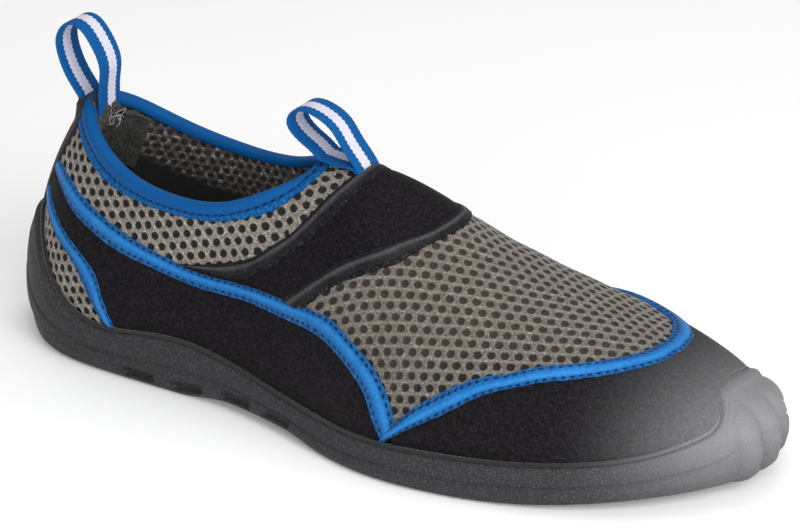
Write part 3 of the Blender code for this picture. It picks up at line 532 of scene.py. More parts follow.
def mesh_of(name, points, quads, finish, cloth=None, cloth_quads=None, marks=None):
    """Mesh from points and corner numbers, with a cloth map in pattern units and named marks per point."""
    mesh = bpy.data.meshes.new(name)
    mesh.vertices.add(len(points))
    mesh.vertices.foreach_set("co", np.ascontiguousarray(points, np.float32).ravel())
    mesh.loops.add(quads.size)
    mesh.loops.foreach_set("vertex_index", quads.astype(np.int32).ravel())
    mesh.polygons.add(len(quads))
    mesh.polygons.foreach_set("loop_start", np.arange(0, quads.size, 4, dtype=np.int32))
    mesh.update(calc_edges=True)
    if cloth is not None:
        at_corner = quads if cloth_quads is None else cloth_quads
        corners = np.asarray(cloth, float).reshape(-1, 2)[at_corner.ravel()]
        layer = mesh.uv_layers.new(name="UVMap")
        layer.data.foreach_set("uv", np.ascontiguousarray(corners, np.float32).ravel())
    for key, values in (marks or {}).items():
        mark = mesh.attributes.new(key, "FLOAT", "POINT")
        mark.data.foreach_set("value", np.ascontiguousarray(values, np.float32).ravel())
    mesh.materials.append(finish)
    mesh.shade_smooth()
    return mesh


def place(name, mesh, replaces=()):
    """Object for a mesh: it rides the shoe's one body and may stand for nodes of the frame."""
    piece = bpy.data.objects.new(name, mesh)
    bpy.context.scene.collection.objects.link(piece)
    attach(piece, "root")
    if replaces:
        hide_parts(*replaces)
    return piece


def grid_mesh(
        name, points, finish, cloth=None, marks=None, close_rows=False, close_columns=False, weld=False):
    """Mesh of one grid, whose faces point along the first direction crossed with the second."""
    rows, columns = points.shape[:2]
    quads = grid_corners(rows, columns, close_rows, close_columns)
    cloth_quads = None
    if cloth is not None:
        cloth_quads = grid_corners(cloth.shape[0], cloth.shape[1], False, False)
    mesh = mesh_of(name, points.reshape(-1, 3), quads, finish, cloth, cloth_quads, marks)
    if weld:
        weld_mesh(mesh)
    return mesh


def weld_mesh(mesh, apart=2e-6):
    """Merge points that lie on each other and drop faces without area."""
    work = bmesh.new()
    work.from_mesh(mesh)
    bmesh.ops.remove_doubles(work, verts=work.verts, dist=apart)
    work.to_mesh(mesh)
    work.free()
    mesh.shade_smooth()


def even_turns(first, last, up, count):
    """Turns that divide the line at a share up the upper into steps of even length."""
    turns = np.linspace(first, last, 400)
    line = upper_point(turns, up + 0 * turns)
    length = lengths(line)
    return np.interp(np.linspace(0, length[-1], count + 1), length, turns)


def up_at(turns, heights):
    """Share up the upper at which the column at each turn reaches each of its heights."""
    shares = np.linspace(0, 0.75, 46)
    levels = upper_point(turns[:, None], shares[None])[..., 2]
    return np.array([np.interp(z, row, shares) for z, row in zip(heights, levels)])


def level_rows(ring, share):
    """Level rows from each point of the ring's outer side to its mirror point, by shares of the way."""
    half = len(ring) // 2
    share = share[None, :, None]
    left = ring[:half + 1][:, None]
    right = ring[-np.arange(half + 1)][:, None]
    return left * (1 - share) + right * share


def both_sides(turns):
    """Turns of the outer side from heel to toe, and on round the inner side back to the heel."""
    return np.concatenate([turns, 360 - turns[-2::-1]])


def middle_of(table):
    """Turn and share up of the middle of a tape."""
    turn = (np.array(table["turn"]) + np.array(table["low_turn"])) / 2
    up = (np.array(table["up"]) + np.array(table["low_up"])) / 2
    return turn, up


def circle(first, second, angles):
    """Ring of vectors about each point of a line: the first by the cosine plus the second by the sine."""
    return first[:, None] * np.cos(angles)[None, :, None] + second[:, None] * np.sin(angles)[None, :, None]


def waver(length, pitch, phase=0.0):
    """Sine along a length, once for every pitch."""
    return np.sin(2 * math.pi * length / pitch + phase)


def tuck(share, width):
    """0 at both edges of a panel and 1 from a width inside them on."""
    return smooth(share, 0, width) * smooth(1 - share, 0, width)


def ripple(points, size, amount, seed):
    """Slow uneven waves: a sum of six sines of the place, in directions drawn from the seed."""
    draw = np.random.default_rng(seed)
    ways = draw.normal(size=(6, 3))
    ways = ways / np.linalg.norm(ways, axis=1, keepdims=True) * draw.uniform(0.6, 1.6, (6, 1))
    phase = draw.uniform(0, 2 * math.pi, 6)
    return amount * np.sin(points @ ways.T * (2 * math.pi / size) + phase).mean(-1) * 2.4


def creases(points, table):
    """Depth of soft troughs: each fades as a bell off its line and towards its ends."""
    depth = np.zeros(points.shape[:-1])
    for middle, way, length, width, deep in table:
        way = np.array(way) / np.linalg.norm(way)
        off = points - np.array(middle)
        along = off @ way
        aside = np.linalg.norm(off - along[..., None] * way, axis=-1)
        depth += deep * np.exp(-(aside / width) ** 2 - (along / length) ** 2)
    return depth


def hole_distance(along, across):
    """Distance in pitches to the nearest hole of a honeycomb whose rows are half of root three apart."""
    row = HOLE_ROW
    even = np.hypot(along - np.round(along), across - row * np.round(across / row))
    along = along - 0.5
    across = across - row / 2
    odd = np.hypot(along - np.round(along), across - row * np.round(across / row))
    return np.minimum(even, odd)


def mesh_relief(distance, share):
    """Lift of knitted mesh: a dent in each hole, a soft rim round it and a shallow pit between the rims."""
    dent = 1 - smooth(distance, share - 0.10, share + 0.03)
    rim = np.exp(-((distance - share - 0.07) / 0.05) ** 2)
    pit = smooth(distance, 0.47, 0.56)
    return HOLE_DEPTH * -dent + RIM_HEIGHT * rim - PIT_DEPTH * pit


# Materials


def shaded(colour, share):
    """Colour times a number, which darkens or lightens it."""
    return tuple(share * part for part in colour)


class Number:
    """A number socket in a material: sums and products with it add Math nodes."""

    def __init__(self, finish, socket):
        self.finish = finish
        self.socket = socket

    def math(self, operation, *values, clamp=False):
        """Math node whose first value is this number."""
        settings = {"operation": operation, "use_clamp": clamp}
        node = self.finish.node("ShaderNodeMath", settings, (self, *values))
        return Number(self.finish, node.outputs[0])

    def __add__(self, other):
        return self.math("ADD", other)

    __radd__ = __add__

    def __mul__(self, other):
        return self.math("MULTIPLY", other)

    __rmul__ = __mul__

    def __sub__(self, other):
        return self.math("SUBTRACT", other)

    def __rsub__(self, other):
        return self * -1 + other

    def __truediv__(self, other):
        return self.math("DIVIDE", other)

    def __pow__(self, other):
        return self.math("POWER", other)

    def step(self, low, high):
        """Smooth step from 0 at low to 1 at high."""
        settings = {"interpolation_type": "SMOOTHSTEP"}
        values = {"Value": self, "From Min": low, "From Max": high}
        node = self.finish.node("ShaderNodeMapRange", settings, values)
        return Number(self.finish, node.outputs[0])

    def from_whole(self):
        """How far the number is from the nearest whole number."""
        return (self - self.math("ROUND")).math("ABSOLUTE")

    def wave(self, turns):
        """Sine of the number, which goes round once for every 1 / turns."""
        return (self * (2 * math.pi * turns)).math("SINE")

    def least(self, other):
        """The smaller of two numbers."""
        return self.math("MINIMUM", other)

    def most(self, other):
        """The larger of two numbers."""
        return self.math("MAXIMUM", other)


class Finish:
    """A material whose nodes are laid down by expressions; constants go straight onto its shader."""

    def __init__(self, name, constants):
        self.material = bpy.data.materials.new(name)
        self.material.use_nodes = True
        self.tree = self.material.node_tree
        self.shader = self.tree.nodes["Principled BSDF"]
        for key, value in constants.items():
            self.shader.inputs[key].default_value = value

    def node(self, kind, settings, values):
        """Node of a kind, with its settings and the values or links of its sockets, by place or name."""
        node = self.tree.nodes.new(kind)
        for key, value in settings.items():
            setattr(node, key, value)
        named = values.items() if isinstance(values, dict) else enumerate(values)
        for key, value in named:
            if isinstance(value, Number):
                value = value.socket
            if isinstance(value, bpy.types.NodeSocket):
                self.tree.links.new(value, node.inputs[key])
            else:
                node.inputs[key].default_value = value
        return node

    def place(self):
        """Object coordinates, in metres."""
        return self.node("ShaderNodeTexCoord", {}, {}).outputs["Object"]

    def cloth(self):
        """The piece's cloth map and its two numbers."""
        map_socket = self.node("ShaderNodeUVMap", {"uv_map": "UVMap"}, {}).outputs[0]
        parts = self.node("ShaderNodeSeparateXYZ", {}, {0: map_socket})
        return map_socket, Number(self, parts.outputs[0]), Number(self, parts.outputs[1])

    def painted_toe_glare(self):
        """Share of the painted glare at the toe, light painted into the colour: it grows from the ball to the
        tip of the toe.
        """
        parts = self.node("ShaderNodeSeparateXYZ", {}, {0: self.place()})
        return Number(self, parts.outputs[0]).step(GLARE_FROM, GLARE_TO) ** GLARE_POWER

    def mark(self, name):
        """A named mark of the piece's points."""
        node = self.node("ShaderNodeAttribute", {"attribute_name": name}, {})
        return Number(self, node.outputs["Fac"])

    def noise(self, where, size, detail=3.0, rough=0.55):
        """Cloudy noise from 0 to 1 whose lumps are about a size across."""
        values = {"Vector": where, "Scale": 1 / size, "Detail": detail, "Roughness": rough}
        return Number(self, self.node("ShaderNodeTexNoise", {}, values).outputs[0])

    def cells(self, where, size, feature="F1"):
        """Distance to the nearest of scattered points about a size apart, in sizes."""
        values = {"Vector": where, "Scale": 1 / size}
        node = self.node("ShaderNodeTexVoronoi", {"feature": feature}, values)
        return Number(self, node.outputs["Distance"])

    def mix(self, share, first, second):
        """Colour between two colours."""
        node = self.node("ShaderNodeMix", {"data_type": "RGBA"}, {})
        for spot, value in ((0, share), (6, first), (7, second)):
            if isinstance(value, Number):
                value = value.socket
            if isinstance(value, bpy.types.NodeSocket):
                self.tree.links.new(value, node.inputs[spot])
            else:
                node.inputs[spot].default_value = value if spot == 0 else (*value, 1.0)
        return node.outputs[2]

    def close(self, colour, roughness, height=None, distance=0.001, strength=1.0):
        """Link the colour, the roughness and a bump of a height to the shader."""
        self.tree.links.new(colour, self.shader.inputs["Base Color"])
        if isinstance(roughness, Number):
            self.tree.links.new(roughness.socket, self.shader.inputs["Roughness"])
        else:
            self.shader.inputs["Roughness"].default_value = roughness
        if height is not None:
            values = {"Strength": strength, "Distance": distance, "Height": height}
            bump = self.node("ShaderNodeBump", {}, values)
            self.tree.links.new(bump.outputs[0], self.shader.inputs["Normal"])
        return self.material


def from_hole(along, across):
    """Distance in pitches to the nearest hole of the honeycomb, from the numbers of a cloth map."""
    even = along.from_whole() ** 2.0 + ((across / HOLE_ROW).from_whole() * HOLE_ROW) ** 2.0
    across = (across - HOLE_ROW / 2) / HOLE_ROW
    odd = (along - 0.5).from_whole() ** 2.0 + (across.from_whole() * HOLE_ROW) ** 2.0
    return even.least(odd) ** 0.5


def knitted_mesh(name, colours, hole_share, warm_holes, tone):
    """Spacer mesh: flecked yarn times a tone, which gives shaded and lit copies of one yarn as painted shade
    and light, painted highlight on the rims round the holes, painted shade in the pits between them, and
    round honeycomb holes that are dark or, with marks, brown.
    """
    finish = Finish(name, {"Sheen Weight": 0.25, "Sheen Roughness": 0.5, "Specular IOR Level": 0.35})
    where = finish.place()
    _, along, across = finish.cloth()
    apart = from_hole(along, across) + (finish.noise(where, 0.0009, 3.0) * 0.20 - 0.10)
    hole = 1 - apart.step(hole_share - 0.035, hole_share + 0.03)
    # The rim is a ring round each hole; its lightening below is a painted highlight
    rim = (1 - ((apart - (hole_share + 0.09)).math("ABSOLUTE")).step(0.02, 0.10)) * 0.7
    pit = apart.step(0.45, 0.55)
    fibre = finish.noise(where, 0.00028, 4.0, 0.7)
    fleck = finish.noise(where, 0.00085, 3.0, 0.8).step(0.53, 0.64)
    dark = finish.noise(where, 0.00095, 3.0, 0.8).step(0.48, 0.36)
    slow = finish.noise(where, 0.020, 2.0)
    slant = ((along * HOLE_ROW + across) / HOLE_ROW).from_whole()
    strand = slant.step(0.30, 0.48) * (0.35 + fleck * 0.65)
    plain = shaded(colours.yarn, tone)
    light = shaded(colours.yarn_fleck_and_highlight, tone)
    yarn = finish.mix(slow, plain, shaded(plain, 0.80))
    # The pits between the rims are darkened as painted shade, along with the yarn's own dark flecks
    shadow = (dark * 0.80 + pit * 0.15 - strand * 0.4).most(0.0).least(0.85)
    yarn = finish.mix(shadow, yarn, colours.yarn_dark)
    # Light flecks and strands are the yarn's own; the rims round the holes get a painted highlight
    yarn = finish.mix((fleck * 0.70 + rim * 0.12 + strand * 0.40).least(1.0), yarn, light)
    depth = colours.hole
    if warm_holes:
        warm = finish.mark("warm") * (0.7 + 0.6 * finish.noise(where, 0.0016, 2.0))
        depth = finish.mix(warm.least(1.0), colours.hole, shaded(colours.hole_warm, 0.55))
    colour = finish.mix(hole, yarn, depth)
    height = fibre * 0.6 + rim * 0.5 - hole * 1.2 - pit * 0.4
    return finish.close(colour, 0.82 - fleck * 0.2, height, 0.00022, 0.9)


def foam_cloth(name, colours):
    """Black foam-backed jersey: slanting knit, fine nap, light and dark flecks, and painted glare, light
    painted into the colour, at the toe.
    """
    finish = Finish(name, {"Sheen Weight": 0.03, "Sheen Roughness": 0.35, "Specular IOR Level": 0.12})
    where = finish.place()
    slow = finish.noise(where, 0.030, 3.0)
    nap = finish.noise(where, NAP, 3.0, 0.7)
    parts = finish.node("ShaderNodeSeparateXYZ", {}, {0: where})
    slant = Number(finish, parts.outputs[0]) + Number(finish, parts.outputs[2]) * 0.8
    level = Number(finish, parts.outputs[1]) + Number(finish, parts.outputs[2])
    knit = slant.wave(1 / 0.00078) * 0.5 + level.wave(1 / 0.0011) * 0.25
    lint = finish.noise(where, 0.00052, 1.0).step(0.74, 0.80) * 0.35
    colour = finish.mix(slow, colours.foam_cloth, shaded(colours.foam_cloth, 1.5))
    speck = finish.noise(where, FOAM_FLECK, 3.0, 0.9)
    colour = finish.mix(speck.step(0.56, 0.40), colour, shaded(colours.foam_cloth, 0.25))
    colour = finish.mix(speck.step(0.53, 0.66) * 0.5, colour, shaded(colours.foam_cloth, 4.2))
    twill = slant.wave(1 / 0.0011).step(0.0, 1.0) * 0.35
    colour = finish.mix(twill, colour, shaded(colours.foam_cloth, 0.3))
    colour = finish.mix(lint, colour, colours.yarn_dark)
    # Painted glare: the cloth is paled towards the toe as if strongly lit there
    painted_glare = finish.painted_toe_glare() * (0.25 + 0.5 * speck)
    colour = finish.mix(painted_glare, colour, colours.painted_toe_glare)
    return finish.close(colour, 0.80 - 0.12 * nap, nap + knit * 0.35, 0.00012, 0.7)


def sewn_tape(name, main, light, needle_pitch, needle_rows, satin):
    """Folded tape: satin middle with a painted highlight along it, fine cross ribs, needle holes in rows and
    fuzzy overlocked edges.
    """
    finish = Finish(name, {"Sheen Weight": 0.03, "Sheen Roughness": 0.4, "Specular IOR Level": 0.16})
    where = finish.place()
    _, along, across = finish.cloth()
    aside = across.math("ABSOLUTE")
    holes = None
    groove = None
    for spot, phase in needle_rows:
        steps = (along / needle_pitch + phase + finish.noise(where, 0.006, 1.0) * 0.5).from_whole()
        off = (across - spot).math("ABSOLUTE")
        hole = (1 - steps.step(0.17, 0.28)) * (1 - off.step(0.09, 0.17))
        line = (1 - off.step(0.03, 0.15)) * steps.step(0.10, 0.30)
        holes = hole if holes is None else holes.most(hole)
        groove = line if groove is None else groove.most(line)
    edge = aside.step(0.70, 0.86)
    zigzag = (along / (needle_pitch * 0.42) + aside * 0.9).wave(1.0)
    fuzz = finish.noise(where, 0.00035, 3.0, 0.7)
    ribs = along.wave(1 / 0.00048)
    slow = finish.noise(where, 0.009, 3.0)
    # Painted highlight: the middle of the tape, and slow patches of it, are lightened towards its light
    # colour as if lit
    middle = 1 - aside.step(0.05, 0.50)
    painted_satin_highlight = (middle * 0.75 + slow - 0.45).most(0.0).least(1.0)
    tone = finish.mix(painted_satin_highlight, main, light)
    tone = finish.mix(edge * (0.30 + 0.25 * zigzag), tone, shaded(main, 0.45))
    fleck = finish.noise(where, FLECK, 3.0, 0.85)
    tone = finish.mix(fleck.step(0.50, 0.38) * (0.30 + 0.35 * edge), tone, shaded(main, 0.35))
    tone = finish.mix(fleck.step(0.54, 0.64) * (0.25 + 0.40 * edge), tone, shaded(light, 1.3))
    tone = finish.mix(groove * 0.45, tone, shaded(main, 0.55))
    colour = finish.mix(holes * 0.92, tone, (0.006, 0.008, 0.012))
    height = ribs * 0.10 * (1 - edge) + fuzz * (0.15 + 0.8 * edge) + zigzag * edge * 0.5
    height = height - groove * 0.7 - holes * 1.3
    return finish.close(colour, satin + edge * 0.25 + fuzz * 0.1, height, 0.00018, 0.8)


def webbing_cloth(name, colours, rib_pitch, stripe_share):
    """Ribbed webbing with painted shade between the ribs and a light centre stripe whose edges step from rib
    to rib.
    """
    finish = Finish(name, {"Sheen Weight": 0.02, "Sheen Roughness": 0.4, "Specular IOR Level": 0.10})
    where = finish.place()
    _, along, across = finish.cloth()
    ribs = (along / rib_pitch).from_whole() * 2
    scallop = (along / (rib_pitch * 2)).wave(1.0) * 0.035
    inside = across.math("ABSOLUTE") + scallop
    stripe = 1 - inside.step(stripe_share - 0.02, stripe_share + 0.02)
    fibre = finish.noise(where, 0.00022, 3.0, 0.7)
    # Painted shade: blue and stripe are darkened in the hollows between the ribs
    painted_rib_shade = 0.70 * ribs.step(0.45, 0.95)
    blue = finish.mix(fibre, colours.webbing_blue, shaded(colours.webbing_blue, 1.7))
    blue = finish.mix(painted_rib_shade, blue, shaded(colours.webbing_blue, 0.40))
    white = finish.mix(painted_rib_shade * 0.45, colours.stripe, shaded(colours.stripe, 0.62))
    colour = finish.mix(stripe, blue, white)
    height = (1 - ribs) * 0.9 + fibre * 0.25 - stripe * 0.15
    return finish.close(colour, 0.55 + 0.2 * ribs, height, 0.00022, 0.9)


def binding_cloth(name, colours, needle_pitch):
    """Folded binding: smooth stretched roll above, needle holes and a zigzag cover stitch below."""
    finish = Finish(name, {"Sheen Weight": 0.02, "Sheen Roughness": 0.4, "Specular IOR Level": 0.10})
    where = finish.place()
    _, along, down = finish.cloth()
    fuzz = finish.noise(where, NAP, 3.0, 0.7)
    slow = finish.noise(where, 0.012, 3.0)
    steps = (along / needle_pitch + finish.noise(where, 0.008, 1.0) * 0.6).from_whole()
    hole = (1 - steps.step(0.17, 0.30)) * (1 - (down - SEAM_DOWN).math("ABSOLUTE").step(0.035, 0.080))
    seam = 1 - (down - SEAM_DOWN).math("ABSOLUTE").step(0.015, 0.06)
    low = down.step(SEAM_DOWN + 0.04, SEAM_DOWN + 0.10)
    swing = (along / (needle_pitch * 0.9)).wave(1.0) * 0.12 + 0.80
    thread = (1 - (down - swing).math("ABSOLUTE").step(0.04, 0.09)) * low * (1 - down.step(0.95, 0.99))
    ribs = along.wave(1 / 0.00055)
    blue = finish.mix(slow, colours.binding_blue, shaded(colours.binding_blue, 1.25))
    fleck = finish.noise(where, FLECK, 3.0, 0.85)
    blue = finish.mix(
        fleck.step(0.50, 0.38) * (0.12 + 0.45 * low), blue, shaded(colours.binding_blue, 0.45))
    blue = finish.mix(low * 0.20, blue, shaded(colours.binding_blue, 0.6))
    blue = finish.mix(fleck.step(0.54, 0.64) * (0.06 + low * 0.5), blue, colours.blue_tape_pale_and_highlight)
    blue = finish.mix(thread * 0.30, blue, colours.blue_tape_pale_and_highlight)
    blue = finish.mix(seam * 0.3, blue, shaded(colours.binding_blue, 0.5))
    colour = finish.mix(hole * 0.9, blue, (0.004, 0.010, 0.020))
    height = fuzz * (0.25 + 0.6 * low) + ribs * 0.12 + thread * 0.8 - seam * 0.7 - hole * 1.2
    return finish.close(colour, 0.58 + 0.2 * low, height, 0.00018, 0.8)


def pebbled_rubber(name, colours, pebble):
    """Dark grey rubber: pebbled skin with painted light on the pebbles' tops and painted shade between them,
    painted glints as bright specks, painted shade towards the rear and painted glare at the toe.
    """
    finish = Finish(name, {"Specular IOR Level": 0.35})
    where = finish.place()
    grain = finish.cells(where, pebble)
    fine = finish.noise(where, pebble * 0.35, 3.0, 0.65)
    slow = finish.noise(where, 0.035, 3.0)
    spark = finish.noise(where, 0.00033, 2.0, 0.7).step(0.66, 0.76)
    parts = finish.node("ShaderNodeSeparateXYZ", {}, {0: where})
    # Painted shade: the rubber is darkened towards the heel, as if less lit there
    ahead = Number(finish, parts.outputs[0]).step(-0.14, 0.02)
    colour = finish.mix(ahead, shaded(colours.rubber, 0.45), colours.rubber)
    colour = finish.mix(slow * 0.5, colour, shaded(colours.rubber, 1.35))
    # Painted light and shade on the pebbles: the low skin is darkened and the raised pebble tops are
    # lightened
    colour = finish.mix(fine.step(0.35, 0.62) * 0.55, shaded(colours.rubber, 0.42), colour)
    colour = finish.mix(1 - grain.step(0.10, 0.42), colour, shaded(colours.rubber, 2.3))
    # Painted glints: small bright specks, which are also made less rough
    colour = finish.mix(spark * 0.40, colour, (0.26, 0.26, 0.27))
    # Painted glare at the toe, light painted into the colour; it is stronger higher up the sole
    glare_by_height = Number(finish, parts.outputs[2]).step(0.004, 0.026) * 0.65 + 0.35
    colour = finish.mix(finish.painted_toe_glare() * (0.45 + 0.5 * fine) * glare_by_height, colour, colours.painted_toe_glare)
    height = (1 - grain) * 0.9 + fine * 0.6
    return finish.close(colour, 0.50 + 0.22 * slow - spark * 0.2, height, 0.00036, 0.8)


def plain_cloth(name, dark, light, size, roughness, sheen=0.3, painted_glare=None):
    """Napped cloth that wavers between two tones, with fibres of a size and maybe painted glare, light
    painted into the colour, at the toe.
    """
    finish = Finish(name, {"Sheen Weight": sheen, "Sheen Roughness": 0.45, "Specular IOR Level": 0.3})
    where = finish.place()
    fibre = finish.noise(where, size, 4.0, 0.7)
    slow = finish.noise(where, size * 30, 3.0)
    colour = finish.mix(fibre.step(0.35, 0.68) * 0.8 + slow * 0.2, dark, light)
    # Painted glare: the colour is paled towards the toe as if strongly lit there
    if painted_glare:
        colour = finish.mix(finish.painted_toe_glare() * 0.75, colour, painted_glare)
    return finish.close(colour, roughness, fibre, size * 0.7, 0.9)


def lining_cloth(name, colours, hole_share):
    """Inside of the upper: silvery mesh by the collar, ribbed knit by the waist, black foam cloth below."""
    finish = Finish(name, {"Sheen Weight": 0.2, "Sheen Roughness": 0.4, "Specular IOR Level": 0.6})
    where = finish.place()
    _, along, across = finish.cloth()
    apart = from_hole(along, across)
    hole = 1 - apart.step(hole_share - 0.04, hole_share + 0.06)
    fibre = finish.noise(where, 0.00035, 3.0, 0.7)
    glint = finish.noise(where, 0.0016, 3.0, 0.75).step(0.52, 0.68)
    mesh = finish.mark("mesh")
    ribbed = finish.mark("ribbed")
    ribs = along.wave(1.6) * 0.5 + 0.5
    silver = finish.mix(glint, colours.lining, colours.lining_light)
    silver = finish.mix(hole * 0.9, silver, colours.hole)
    knit = finish.mix(ribs, colours.yarn_dark, colours.yarn)
    low = finish.mix(fibre, (0.003, 0.003, 0.003), (0.010, 0.009, 0.009))
    colour = finish.mix(mesh, low, finish.mix(ribbed, silver, knit))
    height = fibre * 0.5 - hole * mesh + ribs * ribbed
    rough = 0.80 - glint * mesh * (1 - ribbed) * 0.45
    return finish.close(colour, rough, height, 0.00025, 0.8)


# What a user may change


def colour_setting(label, about, colour):
    """Colour property with its defaults in linear colour."""
    return bpy.props.FloatVectorProperty(
        name=label, description=about, subtype="COLOR", size=3, min=0.0, max=1.0, default=srgb(*colour))


class ShoeSizes(bpy.types.PropertyGroup):
    """Sizes of the cloth, the sewing and the rubber's skin."""

    hole_pitch: bpy.props.FloatProperty(
        name="Hole pitch", description="Distance between holes in the mesh", default=0.0044, unit="LENGTH")
    hole_share: bpy.props.FloatProperty(
        name="Hole radius", description="Radius of a hole as a share of the pitch",
        default=0.325, subtype="FACTOR")
    needle_pitch: bpy.props.FloatProperty(
        name="Needle pitch", description="Distance between needle holes", default=0.0029, unit="LENGTH")
    rib_pitch: bpy.props.FloatProperty(
        name="Rib pitch", description="Distance between ribs of the webbing", default=0.00086, unit="LENGTH")
    stripe_share: bpy.props.FloatProperty(
        name="Stripe width", description="Width of the webbing's stripe as a share",
        default=0.36, subtype="FACTOR")
    pebble: bpy.props.FloatProperty(
        name="Pebble", description="Distance between pebbles of the rubber", default=0.00085, unit="LENGTH")


class ShoeColours(bpy.types.PropertyGroup):
    """Colours of the cloth, the tapes and the rubber."""

    yarn: colour_setting("Yarn", "Mesh yarn", (112, 105, 95))
    # Light yarn of the flecks, also the painted highlight on the rims round the holes
    yarn_fleck_and_highlight: colour_setting("Light yarn", "Flecks and rims of the mesh yarn", (176, 168, 156))
    yarn_dark: colour_setting("Dark yarn", "Shadowed fibres of the mesh yarn", (54, 49, 44))
    hole: colour_setting("Hole", "Bottom of a hole in the mesh", (14, 13, 12))
    hole_warm: colour_setting("Warm hole", "Backing seen through the vamp's holes", (70, 56, 45))
    foam_cloth: colour_setting("Foam cloth", "Black foam-backed jersey", (19, 16, 19))
    tape_blue: colour_setting("Tape", "Blue tape", (10, 92, 160))
    # Light colour of the blue tape: its painted satin highlight, and the light flecks and threads of tape and
    # binding
    blue_tape_pale_and_highlight: colour_setting("Light tape", "Satin light on the blue tape", (40, 124, 192))
    tape_black: colour_setting("Black tape", "Black tape of the saddle", (11, 10, 12))
    # Light colour of the black tape: its painted satin highlight and light flecks
    black_tape_pale_and_highlight: colour_setting("Grey tape", "Satin light on the black tape", (74, 73, 76))
    binding_blue: colour_setting("Binding", "Blue collar binding", (3, 74, 132))
    webbing_blue: colour_setting("Webbing", "Blue of the pull loops", (6, 78, 138))
    stripe: colour_setting("Stripe", "Centre stripe of the pull loops", (214, 212, 228))
    rubber: colour_setting("Rubber", "Sole rubber", (50, 49, 52))
    patch: colour_setting("Patch", "Knit patch inside the heel", (88, 90, 84))
    # Colour of the painted glare at the toe: light painted into rubber and cloth
    painted_toe_glare: colour_setting("Toe haze", "Pale bloom on rubber and cloth at the toe", (150, 150, 152))
    lining: colour_setting("Lining", "Lining mesh", (84, 78, 72))
    lining_light: colour_setting("Light lining", "Glints on the lining mesh", (205, 198, 198))


class ShoePart(bpy.types.Operator):
    """Operator that makes pieces of the shoe from its sizes and colours."""

    bl_options = {"REGISTER", "UNDO"}

    def execute(self, context):
        """Make the pieces; a fault stops the script as an error."""
        self.make(context.scene.shoe_sizes, context.scene.shoe_colours)
        return {"FINISHED"}


